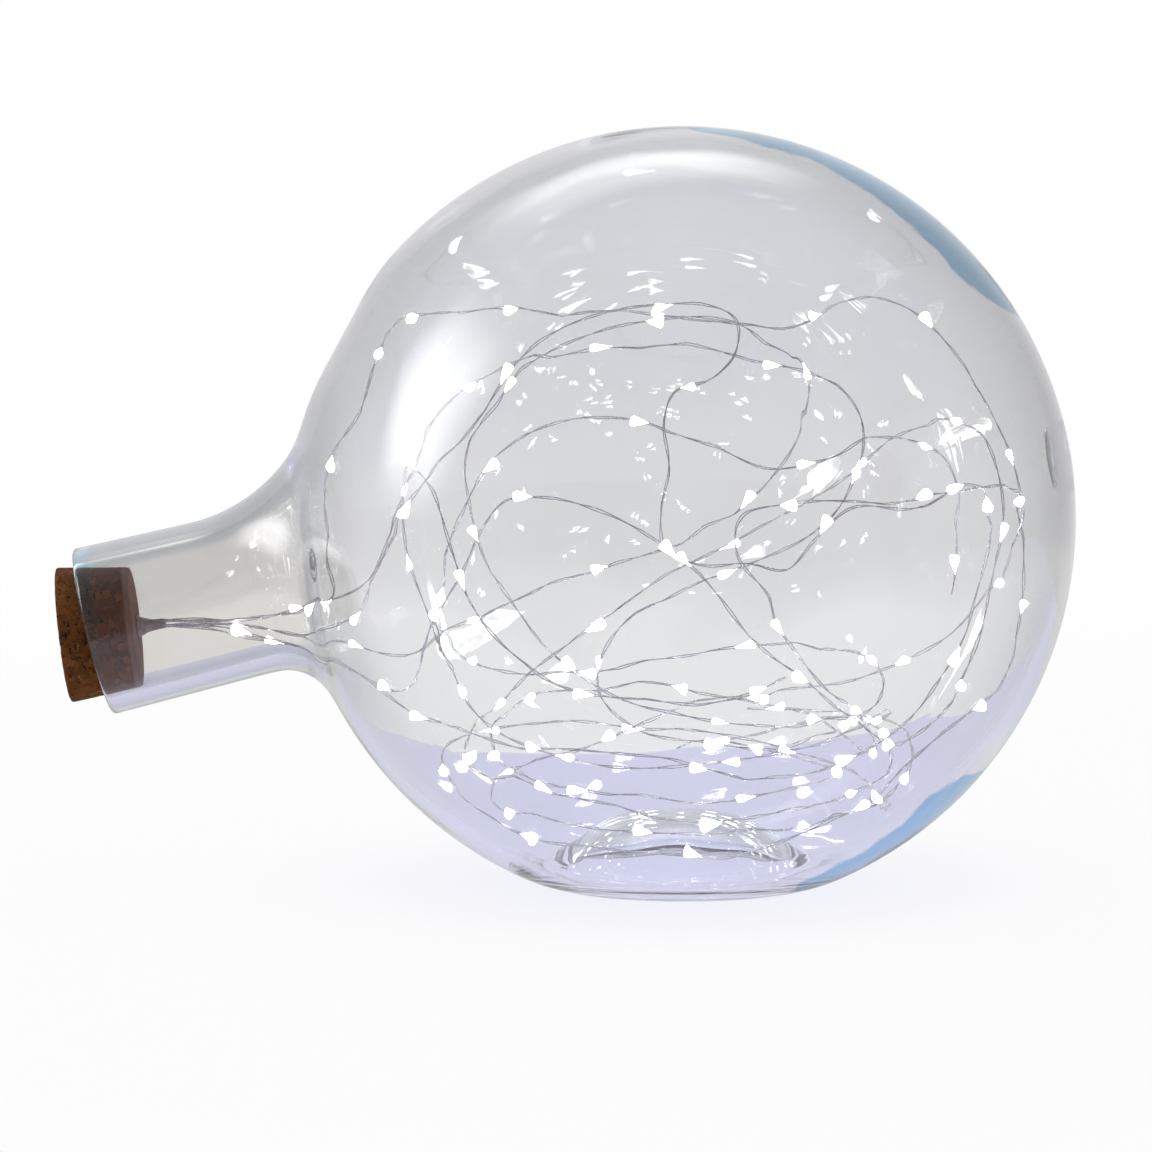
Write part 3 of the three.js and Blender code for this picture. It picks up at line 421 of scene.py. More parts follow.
def rounded(profile, radius, steps=4, closed=True):
    """A profile with each corner turned into a short curve."""
    most_of_side = 0.45
    points = [Vector(point) for point in profile]
    result = []
    for i, here in enumerate(points):
        if not closed and i in (0, len(points) - 1):
            result.append(here)
            continue
        before = points[i - 1] - here
        after = points[(i + 1) % len(points)] - here
        start = here + before.normalized() * min(radius, most_of_side * before.length)
        end = here + after.normalized() * min(radius, most_of_side * after.length)
        for step in range(steps + 1):
            t = step / steps
            result.append((1 - t) ** 2 * start + 2 * t * (1 - t) * here + t ** 2 * end)
    return [(point.x, point.y) for point in result]


def divided(profile, step):
    """A profile with more points along its long stretches."""
    result = []
    for (x0, y0), (x1, y1) in zip(profile, profile[1:] + profile[:1]):
        count = max(1, math.ceil(math.hypot(x1 - x0, y1 - y0) / step))
        for i in range(count):
            result.append((x0 + (x1 - x0) * i / count, y0 + (y1 - y0) * i / count))
    return result


def revolve(profile, sides):
    """Points and faces of a closed profile of (radius, height) pairs turned about its axis."""
    points = []
    rings = []
    for radius, height in profile:
        if radius < TOUCHING:
            rings.append([len(points)] * sides)
            points.append(Vector((0, 0, height)))
            continue
        rings.append(list(range(len(points), len(points) + sides)))
        for side in range(sides):
            turn = 2 * math.pi * side / sides
            points.append(Vector((radius * math.cos(turn), radius * math.sin(turn), height)))
    faces = []
    for low, high in zip(rings, rings[1:] + rings[:1]):
        for side in range(sides):
            after = (side + 1) % sides
            corners = list(dict.fromkeys((low[side], low[after], high[after], high[side])))
            if len(corners) > 2:
                faces.append(corners)
    return points, faces


def in_cork(points):
    """Points given along the cork's own axes, from the middle of the mouth, in the model's frame."""
    return [MOUTH + CORK_TOP * x + SIDEWAYS * y + CORK_AXIS * z for x, y, z in points]


def turned_piece(name, profile, sides, material, sharp_angle=None):
    """A piece turned about the cork's axis."""
    points, faces = revolve(profile, sides)
    return closed_piece(name, in_cork(points), faces, material, sharp_angle)


def ring_sector(outer, inner, start, end, low, high, steps=12):
    """Part of a ring about the cork's axis, from one angle to another, in degrees."""
    section = ((inner, low), (outer, low), (outer, high), (inner, high))
    points = []
    for step in range(steps + 1):
        turn = math.radians(start + (end - start) * step / steps)
        points += [(r * math.cos(turn), r * math.sin(turn), z) for r, z in section]
    faces = [(0, 1, 2, 3), tuple(4 * steps + i for i in (3, 2, 1, 0))]
    for step in range(steps):
        for i in range(4):
            here = 4 * step + i
            beside = 4 * step + (i + 1) % 4
            faces.append((here, beside, beside + 4, here + 4))
    return in_cork(points), faces


def combined(piece, others, operation, sharp_angle):
    """The piece with the others added to it or cut out of it, as one solid. The others are removed."""
    for other in others:
        joining = piece.modifiers.new("join", "BOOLEAN")
        joining.operation = operation
        joining.solver = "EXACT"
        joining.object = other
    name = piece.name
    result = plain_mesh_of(name, piece)
    for other in others:
        bpy.data.objects.remove(other)
    result.name = name
    result.data.shade_smooth()
    result.data.set_sharp_from_angle(angle=sharp_angle)
    return result


def smoothstep(low, high, value):
    t = min(max((value - low) / (high - low), 0), 1)
    return t * t * (3 - 2 * t)


# Node trees

SOCKET_KINDS = {
    float: "NodeSocketFloat",
    int: "NodeSocketInt",
    tuple: "NodeSocketColor",
    type(None): "NodeSocketGeometry",
}


def set_inputs(tree, node, values):
    """Sets a node's inputs. A value may be another node's output."""
    for key, value in values.items():
        if isinstance(value, bpy.types.NodeSocket):
            tree.links.new(value, node.inputs[key])
        else:
            node.inputs[key].default_value = value


def add_node(tree, kind, inputs=None, **options):
    node = tree.nodes.new(kind)
    for key, value in options.items():
        setattr(node, key, value)
    set_inputs(tree, node, inputs or {})
    return node


def new_tree(name, kind, inputs, outputs):
    """A node group, and where its values enter and leave. The default value of a socket tells its kind,
    and None stands for geometry."""
    tree = bpy.data.node_groups.new(name, kind)
    for direction, sockets in (("INPUT", inputs), ("OUTPUT", outputs)):
        for key, default in sockets.items():
            socket_kind = SOCKET_KINDS[type(default)]
            socket = tree.interface.new_socket(name=key, in_out=direction, socket_type=socket_kind)
            if default is not None:
                socket.default_value = default
    return tree, add_node(tree, "NodeGroupInput").outputs, add_node(tree, "NodeGroupOutput")


def maths(tree, operation, *values):
    return add_node(tree, "ShaderNodeMath", dict(enumerate(values)), operation=operation).outputs[0]


def vector_maths(tree, operation, *values):
    """The result is a vector, or a number for a length, a distance or a dot product."""
    places = (0, "Scale") if operation == "SCALE" else (0, 1, 2)
    node = add_node(tree, "ShaderNodeVectorMath", dict(zip(places, values)), operation=operation)
    return node.outputs["Value" if operation in ("LENGTH", "DISTANCE", "DOT_PRODUCT") else "Vector"]


def mapped(tree, value, low, high, to_low=0.0, to_high=1.0, smooth=False):
    """The value carried over from one range to another and held at its ends."""
    inputs = {"Value": value, "From Min": low, "From Max": high, "To Min": to_low, "To Max": to_high}
    change = "SMOOTHSTEP" if smooth else "LINEAR"
    return add_node(tree, "ShaderNodeMapRange", inputs, interpolation_type=change).outputs[0]


def mask_between(tree, value, low, high, most=1.0):
    """0 up to the low value and the most from the high value on, with a soft change between."""
    return mapped(tree, value, low, high, 0.0, most, smooth=True)


def cloudy(tree, place, scale, detail, roughness=0.5):
    inputs = {"Vector": place, "Scale": scale, "Detail": detail, "Roughness": roughness}
    return add_node(tree, "ShaderNodeTexNoise", inputs).outputs[0]


def object_place(tree):
    return add_node(tree, "ShaderNodeTexCoord").outputs["Object"]


def separated(tree, vector):
    return add_node(tree, "ShaderNodeSeparateXYZ", {"Vector": vector}).outputs


def beyond_mouth(tree, place):
    """How far out of the mouth a place lies, along the cork's axis."""
    from_mouth = vector_maths(tree, "SUBTRACT", place, tuple(MOUTH))
    return vector_maths(tree, "DOT_PRODUCT", from_mouth, tuple(CORK_AXIS))


def rgba(colour_value):
    return (*colour_value, 1)


def shaded(colour_value, factor):
    return tuple(channel * factor for channel in colour_value)


def mixed_colour(tree, factor, first, second):
    """Two colours mixed. Each is another node's output or red, green and blue."""
    pair = [value if isinstance(value, bpy.types.NodeSocket) else rgba(value) for value in (first, second)]
    inputs = {"Factor": factor, 6: pair[0], 7: pair[1]}
    return add_node(tree, "ShaderNodeMix", inputs, data_type="RGBA").outputs[2]


def mixed_shader(tree, share, first, second):
    return add_node(tree, "ShaderNodeMixShader", {0: share, 1: first, 2: second}).outputs[0]


def colour_ramp(tree, factor, stops):
    """The factor turned into a colour. The stops are pairs of a position and a colour."""
    node = add_node(tree, "ShaderNodeValToRGB", {"Fac": factor})
    ramp = node.color_ramp
    ramp.elements.remove(ramp.elements[0])
    first, *others = stops
    ramp.elements[0].position = first[0]
    ramp.elements[0].color = rgba(first[1])
    for position, value in others:
        ramp.elements.new(position).color = rgba(value)
    return node.outputs["Color"]


def new_material(name):
    material = bpy.data.materials.new(name)
    material.use_nodes = True
    tree = material.node_tree
    return material, tree, tree.nodes["Principled BSDF"]


def fine_grain_group():
    """Small grain of a moulded or worn surface: a height for bumps and a roughness that varies with it."""
    defaults = {"Grain size": 0.0004, "Roughness": 0.5, "Spread": 0.1}
    outputs = {"Height": 0.0, "Roughness": 0.0}
    tree, entry, leave = new_tree("Fine grain", "ShaderNodeTree", defaults, outputs)
    place = object_place(tree)
    scale = maths(tree, "DIVIDE", 1.0, entry["Grain size"])
    grain = cloudy(tree, place, scale, 3.0, 0.6)
    broad = cloudy(tree, place, maths(tree, "MULTIPLY", scale, 0.08), 2.0)
    centred = maths(tree, "SUBTRACT", broad, 0.5)
    rough = maths(tree, "MULTIPLY_ADD", centred, entry["Spread"], entry["Roughness"])
    set_inputs(tree, leave, {"Height": grain, "Roughness": rough})
    return tree


def mottle_group():
    """Two colours that drift into each other in soft patches."""
    colour, patch_colour = (0.5, 0.5, 0.5, 1.0), (0.4, 0.4, 0.4, 1.0)
    defaults = {"Colour": colour, "Patch colour": patch_colour, "Patch size": 0.004}
    tree, entry, leave = new_tree("Mottle", "ShaderNodeTree", defaults, {"Colour": colour})
    scale = maths(tree, "DIVIDE", 1.0, entry["Patch size"])
    mask = mapped(tree, cloudy(tree, object_place(tree), scale, 4.0), 0.35, 0.65)
    set_inputs(tree, leave, {"Colour": mixed_colour(tree, mask, entry["Colour"], entry["Patch colour"])})
    return tree


def shared_group(name, build):
    return bpy.data.node_groups.get(name) or build()


def use_grain(tree, shader, grain_size, roughness, spread, depth):
    """Fine grain on a material: its roughness varies and its surface is slightly uneven."""
    group = shared_group("Fine grain", fine_grain_group)
    inputs = {"Grain size": grain_size, "Roughness": roughness, "Spread": spread}
    grain = add_node(tree, "ShaderNodeGroup", inputs, node_tree=group).outputs
    bump = add_node(tree, "ShaderNodeBump", {"Height": grain["Height"], "Distance": depth})
    set_inputs(tree, shader, {"Roughness": grain["Roughness"], "Normal": bump.outputs["Normal"]})


def use_mottle(tree, shader, main, patch, patch_size):
    group = shared_group("Mottle", mottle_group)
    inputs = {"Colour": rgba(main), "Patch colour": rgba(patch), "Patch size": patch_size}
    mottle = add_node(tree, "ShaderNodeGroup", inputs, node_tree=group)
    set_inputs(tree, shader, {"Base Color": mottle.outputs["Colour"]})


# Finishes

def clear_glass(settings):
    """Blown glass with a faint tint. It is deeper where the wall is seen edge on and in the thick neck.
    A painted blue reflection lies in two ragged streaks on the outer skin of the right-hand side."""
    material, tree, shader = new_material("clear_glass")
    facing = add_node(tree, "ShaderNodeLayerWeight", {"Blend": 0.5}).outputs["Facing"]
    shares = ((0.42, 1), (0.70, 0.88), (0.86, 0.74), (1.0, 0.66))
    edge_on = colour_ramp(tree, facing, [(at, shaded(settings.tint, share)) for at, share in shares])
    place = object_place(tree)
    height = separated(tree, place)["Z"]
    low = mask_between(tree, height, *LOW_GLASS)
    body = mixed_colour(tree, low, edge_on, settings.tint)

    base = mask_between(tree, height, *BASE_GLASS)
    body = mixed_colour(tree, base, body, settings.base_tint)
    flat_place = vector_maths(tree, "MULTIPLY", place, (1, 1, 0))
    from_axis = vector_maths(tree, "DISTANCE", flat_place, (BALL_CENTRE.x, 0, 0))
    # Painted shade where the punt's shoulder is seen edge on: it stands for the dark surroundings refracted
    # there, over the deeper tint of its thick glass
    punt = maths(tree, "MULTIPLY", base, mask_between(tree, facing, *PUNT_EDGE))
    punt = maths(tree, "MULTIPLY", punt, mask_between(tree, from_axis, *PUNT_REACH))
    body = mixed_colour(tree, punt, body, settings.punt_painted_shade)

    # Painted blue reflection on the right-hand rim of the outer skin
    in_blue_reflection = blue_reflection_mask(tree, place, facing, low, settings.ball_radius)
    blue_reflection_colour = mixed_colour(tree, low, settings.painted_reflection_blue, settings.low_painted_reflection_blue)
    body = mixed_colour(tree, in_blue_reflection, body, blue_reflection_colour)

    outward = beyond_mouth(tree, place)
    edge_of_neck = mask_between(tree, facing, *NECK_EDGE)
    thick = mixed_colour(tree, edge_of_neck, settings.neck_tint, settings.neck_edge_tint)
    thick = mixed_colour(tree, mask_between(tree, outward, *NECK_GLASS), (1, 1, 1), thick)
    body = vector_maths(tree, "MULTIPLY", body, thick)
    lip = mask_between(tree, outward, *LIP_GLASS)
    body = mixed_colour(tree, lip, body, settings.lip_tint)
    set_inputs(tree, shader, {"Base Color": body, "Transmission Weight": 1.0, "IOR": 1.5, "Roughness": 0.0})
    return material


def blue_reflection_mask(tree, place, facing, low, ball_radius):
    """1 in the ragged streaks of painted blue reflection, which lie in the outer skin and fade where the
    glass is seen edge on.
    """
    from_centre = vector_maths(tree, "SUBTRACT", place, tuple(BALL_CENTRE))
    parts = separated(tree, from_centre)
    turn = maths(tree, "ARCTAN2", parts["Z"], parts["X"])
    stops = [(0.5 + degrees / 360, (facing_from or NO_BLUE_REFLECTION,) * 3) for degrees, facing_from in BLUE_REFLECTIONS]
    start = colour_ramp(tree, mapped(tree, turn, -math.pi, math.pi), stops)
    centred = maths(tree, "SUBTRACT", cloudy(tree, place, 60.0, 4.0, 0.6), 0.5)
    start = maths(tree, "MULTIPLY_ADD", centred, BLUE_REFLECTION_RAGGEDNESS, start)
    past = maths(tree, "SUBTRACT", facing, start)
    fading = maths(tree, "MAXIMUM", mask_between(tree, facing, *BLUE_REFLECTION_END), low)
    from_middle = vector_maths(tree, "LENGTH", from_centre)
    half_wall = 0.0018
    outer_skin = maths(tree, "GREATER_THAN", from_middle, ball_radius - half_wall)
    in_blue_reflection = maths(tree, "MULTIPLY", mask_between(tree, past, 0.0, BLUE_REFLECTION_SOFTNESS), fading)
    return maths(tree, "MULTIPLY", in_blue_reflection, outer_skin)


def lit_resin(settings):
    """The clear drop over a light, brightest at its middle."""
    material, tree, shader = new_material("lit_resin")
    glow = add_node(tree, "ShaderNodeAttribute", attribute_name="glow").outputs["Fac"]
    stops = ((0.0, settings.edge_colour), (0.3, settings.core_colour), (1.0, settings.core_colour))
    set_inputs(tree, shader, {
        "Emission Color": colour_ramp(tree, glow, stops),
        "Emission Strength": settings.strength,
        "Base Color": (0.85, 0.87, 0.95, 1),
        "Roughness": 0.15,
    })
    return material


def silver_wire(settings):
    material, tree, shader = new_material("silver_wire")
    use_mottle(tree, shader, settings.wire_colour, shaded(settings.wire_colour, 0.72), 0.006)
    use_grain(tree, shader, 0.0002, 0.28, 0.2, 0.00001)
    set_inputs(tree, shader, {"Metallic": 0.9, "Coat Weight": 0.3})
    return material


def granular_cork(settings):
    """Pressed cork: small granules of close browns with dark curved specks of bark and a few pale crumbs."""
    material, tree, shader = new_material("granular_cork")
    place = object_place(tree)
    wobble = {"Vector": place, "Scale": 700.0, "Detail": 2.0}
    stray = add_node(tree, "ShaderNodeTexNoise", wobble).outputs["Color"]
    off_centre = vector_maths(tree, "SUBTRACT", stray, (0.5, 0.5, 0.5))
    furthest = 0.0026
    bent = vector_maths(tree, "ADD", place, vector_maths(tree, "SCALE", off_centre, furthest))
    cells = {"Vector": bent, "Scale": GRANULES_PER_METRE, "Randomness": 1.0}
    granules = add_node(tree, "ShaderNodeTexVoronoi", cells).outputs["Color"]
    edge = add_node(tree, "ShaderNodeTexVoronoi", cells, feature="DISTANCE_TO_EDGE").outputs["Distance"]
    shade = add_node(tree, "ShaderNodeSeparateColor", {"Color": granules}).outputs["Red"]
    shares = ((0.0, 0.58), (0.25, 0.85), (0.65, 1.0), (0.93, 1.25))
    stops = [(at, shaded(settings.mid_colour, share)) for at, share in shares]
    granule_colour = colour_ramp(tree, shade, [*stops, (1.0, settings.light_colour)])
    fibre = cloudy(tree, place, 2300.0, 4.0, 0.75)
    fibre_shade = mapped(tree, fibre, 0.3, 0.7, 0.72, 1.28)
    fibred = vector_maths(tree, "SCALE", granule_colour, fibre_shade)
    speck_width = mapped(tree, cloudy(tree, place, 800.0, 3.0), 0.52, 0.78, 0.0, 0.17)
    speck = mapped(tree, maths(tree, "SUBTRACT", speck_width, edge), -0.01, 0.03)
    body = mixed_colour(tree, speck, fibred, settings.dark_colour)
    outward = beyond_mouth(tree, place)
    # The part of the cork inside the neck is tinted deeper orange, with less green and blue
    held = mixed_colour(tree, mask_between(tree, outward, *CORK_IN_NECK), (1, 1, 1), settings.pressed)
    body = vector_maths(tree, "MULTIPLY", body, held)
    # Painted highlight on the rim and end face inside the neck, which catch the light
    painted_lit_rim = mask_between(tree, outward, *LIT_CORK_RIM, most=0.65)
    body = mixed_colour(tree, painted_lit_rim, body, settings.lit_rim_colour)
    height = maths(tree, "SUBTRACT", fibre, speck)
    bump = add_node(tree, "ShaderNodeBump", {"Height": height, "Distance": 0.0001, "Strength": 0.7})
    set_inputs(tree, shader, {
        "Base Color": body,
        "Specular IOR Level": 0.12,
        "Normal": bump.outputs["Normal"],
        "Roughness": 0.78,
    })
    return material


def moulded(name, colour_value, roughness, grain_size=0.00035, depth=0.000015):
    """Moulded plastic or rubber with a fine spark-eroded grain."""
    material, tree, shader = new_material(name)
    use_mottle(tree, shader, colour_value, shaded(colour_value, 0.8), 0.005)
    use_grain(tree, shader, grain_size, roughness, 0.14, depth)
    return material


def plated(name, colour_value, roughness):
    """Plated metal with faint rolling marks."""
    material, tree, shader = new_material(name)
    use_mottle(tree, shader, colour_value, shaded(colour_value, 0.86), 0.003)
    use_grain(tree, shader, 0.00022, roughness, 0.25, 0.000006)
    set_inputs(tree, shader, {"Metallic": 1.0})
    return material


def drawn_glue(settings):
    material, tree, shader = new_material("drawn_glue")
    use_mottle(tree, shader, settings.glue_colour, shaded(settings.glue_colour, 0.6), 0.002)
    use_grain(tree, shader, 0.0006, 0.26, 0.2, 0.00004)
    set_inputs(tree, shader, {"Subsurface Weight": 0.25, "Subsurface Radius": (0.002, 0.0012, 0.001)})
    return material


# Glass

def along_neck(glass, distance):
    """The neck's middle line from the ball's centre: a point, and the upward direction across the neck."""
    bend_radius = glass.bend_length / glass.neck_bend
    in_bend = min(max(distance - glass.bend_start, 0), glass.bend_length)
    turned = in_bend / bend_radius
    before = min(distance, glass.bend_start)
    after = max(distance - glass.bend_start - glass.bend_length, 0)
    forward = before + bend_radius * math.sin(turned) + after * math.cos(turned)
    aside = bend_radius * (1 - math.cos(turned)) + after * math.sin(turned)
    slope = glass.neck_slope
    middle = Vector((
        -forward * math.cos(slope) + aside * math.sin(slope),
        0,
        -forward * math.sin(slope) - aside * math.cos(slope),
    ))
    steepness = slope + turned
    return middle, Vector((-math.sin(steepness), 0, math.cos(steepness)))


def stretch(start, end, step):
    """Evenly spaced values after start, up to and with end."""
    count = max(1, math.ceil(abs(end - start) / step))
    return [start + (end - start) * (i + 1) / count for i in range(count)]


def shoulder_profile(ball, neck, fillet, mouth, glass, around):
    """(distance, radius) pairs from the far side of the ball to the start of the lip.
    They lie close together over the base."""
    fine = math.radians(0.65)
    coarse = math.radians(2.7)
    base_from = math.radians(110)
    base_to = math.radians(50)
    shoulder_end = math.sqrt((ball + fillet) ** 2 - (neck + fillet) ** 2)
    meeting = math.atan2(neck + fillet, shoulder_end)
    ball_steps = 18
    turns = stretch(math.pi, base_from, coarse) + stretch(base_from, base_to, fine)
    turns += [base_to + (meeting - base_to) * (step + 1) / ball_steps for step in range(ball_steps)]
    above = (0.5 + 0.5 * math.cos(around)) ** 2
    profile = []
    for turn in turns:
        share = min(max((turn - meeting) / (glass.flat_reach - meeting), 0), 1)
        reach = ball - glass.shoulder_flat * math.sin(math.pi * share) ** 2 * above
        profile.append((reach * math.cos(turn), reach * math.sin(turn)))
    fillet_steps = 16
    for step in range(1, fillet_steps + 1):
        turn = meeting + (math.pi / 2 - meeting) * step / fillet_steps
        profile.append((shoulder_end - fillet * math.cos(turn), neck + fillet - fillet * math.sin(turn)))
    neck_steps = 14
    for step in range(1, neck_steps + 1):
        t = step / neck_steps
        profile.append((shoulder_end + (mouth - shoulder_end) * t, neck + glass.neck_flare * t))
    return eased(profile, len(turns) - ball_steps, len(turns) + fillet_steps + 6)


def eased(profile, first, last):
    """The profile with its bends from one curve into the next made gradual, from one point to another."""
    weights = (1, 6, 15, 20, 15, 6, 1)
    fade_steps = 6
    result = list(profile)
    for i in range(first, last):
        fade = smoothstep(0, fade_steps, min(i - first, last - i))
        mean = [
            sum(weight * profile[i + j - 3][k] for j, weight in enumerate(weights)) / sum(weights)
            for k in range(2)
        ]
        result[i] = tuple(here + (average - here) * fade for here, average in zip(profile[i], mean))
    return result


def punt_height_at(glass, radius, wall, floor):
    """Height of the surface that is pressed into the base, at a distance from its middle."""
    sphere = (glass.ring_inner ** 2 + glass.punt_height ** 2) / (2 * glass.punt_height)
    centre = glass.punt_height - sphere
    reach = abs(radius)
    dome = -glass.ball_radius
    if reach < sphere + wall:
        dome = centre + math.sqrt((sphere + wall) ** 2 - reach ** 2)
    heel = max(reach - glass.ring_outer, 0) * math.tan(glass.heel_slope) if wall == 0 else 0
    return max(dome, floor + heel)


def base_height(glass, radius, inside):
    """The pressed base with its corners softened."""
    wall = glass.ball_wall if inside else 0
    floor = glass.base_wall if inside else 0
    softness = 0.0026 if inside else 0.0013
    samples = 7
    offsets = [softness * (2 * i / (samples - 1) - 1) for i in range(samples)]
    return sum(punt_height_at(glass, radius + offset, wall, floor) for offset in offsets) / samples


def soft_max(a, b, blend):
    t = max(blend - abs(a - b), 0) / blend
    return max(a, b) + t * t * blend / 4


def glass_surface_point(glass, distance, radius, around, inside):
    middle, upward = along_neck(glass, distance)
    across = upward * math.cos(around) + SIDEWAYS * math.sin(around)
    waves_per_metre = 28
    finer = 2.3
    seed = Vector((3.1, 7.7, 1.3)) if inside else Vector((0, 0, 0))
    spot = middle + across * radius
    drift = noise.noise(spot * waves_per_metre + seed)
    drift += 0.5 * noise.noise(spot * finer * waves_per_metre + seed)
    wave = glass.wave * drift * (1 if inside else 0.45) * smoothstep(0, 0.04, radius)
    point = BALL_CENTRE + middle + across * (radius + wave)
    from_base = Vector((point.x - BALL_CENTRE.x, point.y)).length
    if point.z < 0.25 * glass.ball_radius and from_base < 0.5 * glass.ball_radius:
        blend = 0.002 if inside else 0.0009
        point.z = soft_max(point.z, base_height(glass, from_base, inside), blend)
    return point


def glass_body(glass, material):
    """Outer and inner skin of the ball and the neck, joined at the rounded lip."""
    coarse = math.radians(3.0)
    fine = math.radians(0.65)
    half_base = math.radians(33)
    arounds = stretch(0, math.pi - half_base, coarse)
    arounds += stretch(math.pi - half_base, math.pi + half_base, fine)
    arounds += stretch(math.pi + half_base, 2 * math.pi, coarse)
    bore = glass.neck_radius - glass.neck_wall
    mouth = glass.bend_start + glass.bend_length + glass.neck_length
    lip = glass.lip_rounding
    rims = (glass.neck_radius + glass.neck_flare, bore + glass.neck_flare)
    lip_steps = 6
    points = []
    for around in arounds:
        swing = math.cos(around)
        fillet = 0.5 * (glass.fillet_above + glass.fillet_below)
        fillet += 0.5 * (glass.fillet_above - glass.fillet_below) * swing
        outer = shoulder_profile(glass.ball_radius, glass.neck_radius, fillet, mouth - lip, glass, around)
        inner_ball = glass.ball_radius - glass.ball_wall
        inner = shoulder_profile(inner_ball, bore, fillet + glass.ball_wall, mouth - lip, glass, around)
        start = mouth - lip
        quarter = [0.5 * math.pi * step / lip_steps for step in range(1, lip_steps + 1)]
        rim = [(start + lip * math.sin(turn), rims[0] - lip + lip * math.cos(turn)) for turn in quarter]
        rim.append((mouth, 0.5 * sum(rims)))
        for turn in reversed(quarter):
            rim.append((start + lip * math.sin(turn), rims[1] + lip - lip * math.cos(turn)))
        meridian = [glass_surface_point(glass, d, r, around, False) for d, r in outer + rim]
        meridian += [glass_surface_point(glass, d, r, around, True) for d, r in reversed(inner)]
        points += meridian
    stations = len(points) // len(arounds)
    faces = []
    for i in range(len(arounds)):
        here = i * stations
        beside = ((i + 1) % len(arounds)) * stations
        for j in range(stations - 1):
            faces.append((here + j, beside + j, beside + j + 1, here + j + 1))
        faces.append((here, beside, len(points)))
        faces.append((beside + stations - 1, here + stations - 1, len(points) + 1))
    for inside, radius in ((False, glass.ball_radius), (True, glass.ball_radius - glass.ball_wall)):
        points.append(glass_surface_point(glass, -radius, 0, 0, inside))
    return closed_piece("glass_body", points, faces, material)


# Strands

def in_ball(glass, around, up, depth):
    reach = glass.ball_radius - glass.ball_wall - depth
    level = reach * math.cos(math.radians(up))
    turn = math.radians(around)
    return Vector((level * math.sin(turn), -level * math.cos(turn), reach * math.sin(math.radians(up))))


def smooth_line(points, step):
    """A centripetal Catmull-Rom curve through the points, as points an even step apart."""
    first = points[0] * 2 - points[1]
    last = points[-1] * 2 - points[-2]
    extended = [first, *points, last]
    dense = []
    parts = 40
    for p0, p1, p2, p3 in zip(extended, extended[1:], extended[2:], extended[3:]):
        d0 = math.sqrt((p1 - p0).length)
        d1 = math.sqrt((p2 - p1).length)
        d2 = math.sqrt((p3 - p2).length)
        slope1 = ((p1 - p0) / d0 - (p2 - p0) / (d0 + d1) + (p2 - p1) / d1) * d1
        slope2 = ((p2 - p1) / d1 - (p3 - p1) / (d1 + d2) + (p3 - p2) / d2) * d1
        for i in range(parts):
            t = i / parts
            square = (3 * (p2 - p1) - 2 * slope1 - slope2) * t ** 2
            cube = (2 * (p1 - p2) + slope1 + slope2) * t ** 3
            dense.append(p1 + slope1 * t + square + cube)
    dense.append(points[-1])
    return spaced(dense, step)


def spaced(points, step):
    """Points an even step apart along a line of many points."""
    result = [points[0]]
    wanted = step
    travelled = 0.0
    for a, b in zip(points, points[1:]):
        long = (b - a).length
        while long > 0 and travelled + long >= wanted:
            result.append(a.lerp(b, (wanted - travelled) / long))
            wanted += step
        travelled += long
    return result


def strand_line(glass, settings, strand, number):
    """The strand's middle line: smooth as it was laid, with the small kinks of a springy wire."""
    turn = math.radians(strand["leaves_at"])
    x = settings.from_centre * math.cos(turn)
    y = settings.from_centre * math.sin(turn)
    heights = (BOARD_LOW - FIT_GAP, 0.5 * (BOARD_LOW + SEAL_NOSE), SEAL_NOSE - FIT_GAP)
    points = in_cork([(x, y, height) for height in heights])
    points += [BALL_CENTRE + Vector(point) for point in strand["neck"]]
    depth = 0
    for around, up, *given in strand["ball"]:
        depth = given[0] if given else depth
        points.append(BALL_CENTRE + in_ball(glass, around, up, depth))
    length = strand["first_light"] + (settings.light_count - 1) * settings.light_spacing + settings.tail
    line = smooth_line(points, LINE_STEP)[: round(length / LINE_STEP) + 1]
    return kinked(line, LINE_STEP, settings.kink, random.Random(number))


def kinked(line, step, most, chance):
    """The line pushed aside at places a few millimetres apart, as thin wire keeps the bends it was given."""
    free_from = 0.02
    full_from = 0.05
    shortest_gap = 0.006
    longest_gap = 0.021
    result = [point.copy() for point in line]
    at = free_from
    before = Vector((0, 0, 0))
    while at < len(line) * step:
        gap = chance.uniform(shortest_gap, longest_gap)
        aside = Vector([chance.uniform(-1, 1) for _ in range(3)])
        after = aside * most * smoothstep(free_from, full_from, at + gap)
        first = round(at / step)
        last = round((at + gap) / step)
        for i in range(first, min(last, len(line))):
            result[i] += before.lerp(after, (i - first) / (last - first))
        before = after
        at += gap
    return result


def strand_curve(name, line):
    """A poly curve object along a line, for the geometry node trees to follow."""
    data = bpy.data.curves.new(name, "CURVE")
    data.dimensions = "3D"
    spline = data.splines.new("POLY")
    spline.points.add(len(line) - 1)
    for target, point in zip(spline.points, line):
        target.co = (*point, 1)
    curve = bpy.data.objects.new(name, data)
    bpy.context.scene.collection.objects.link(curve)
    return curve


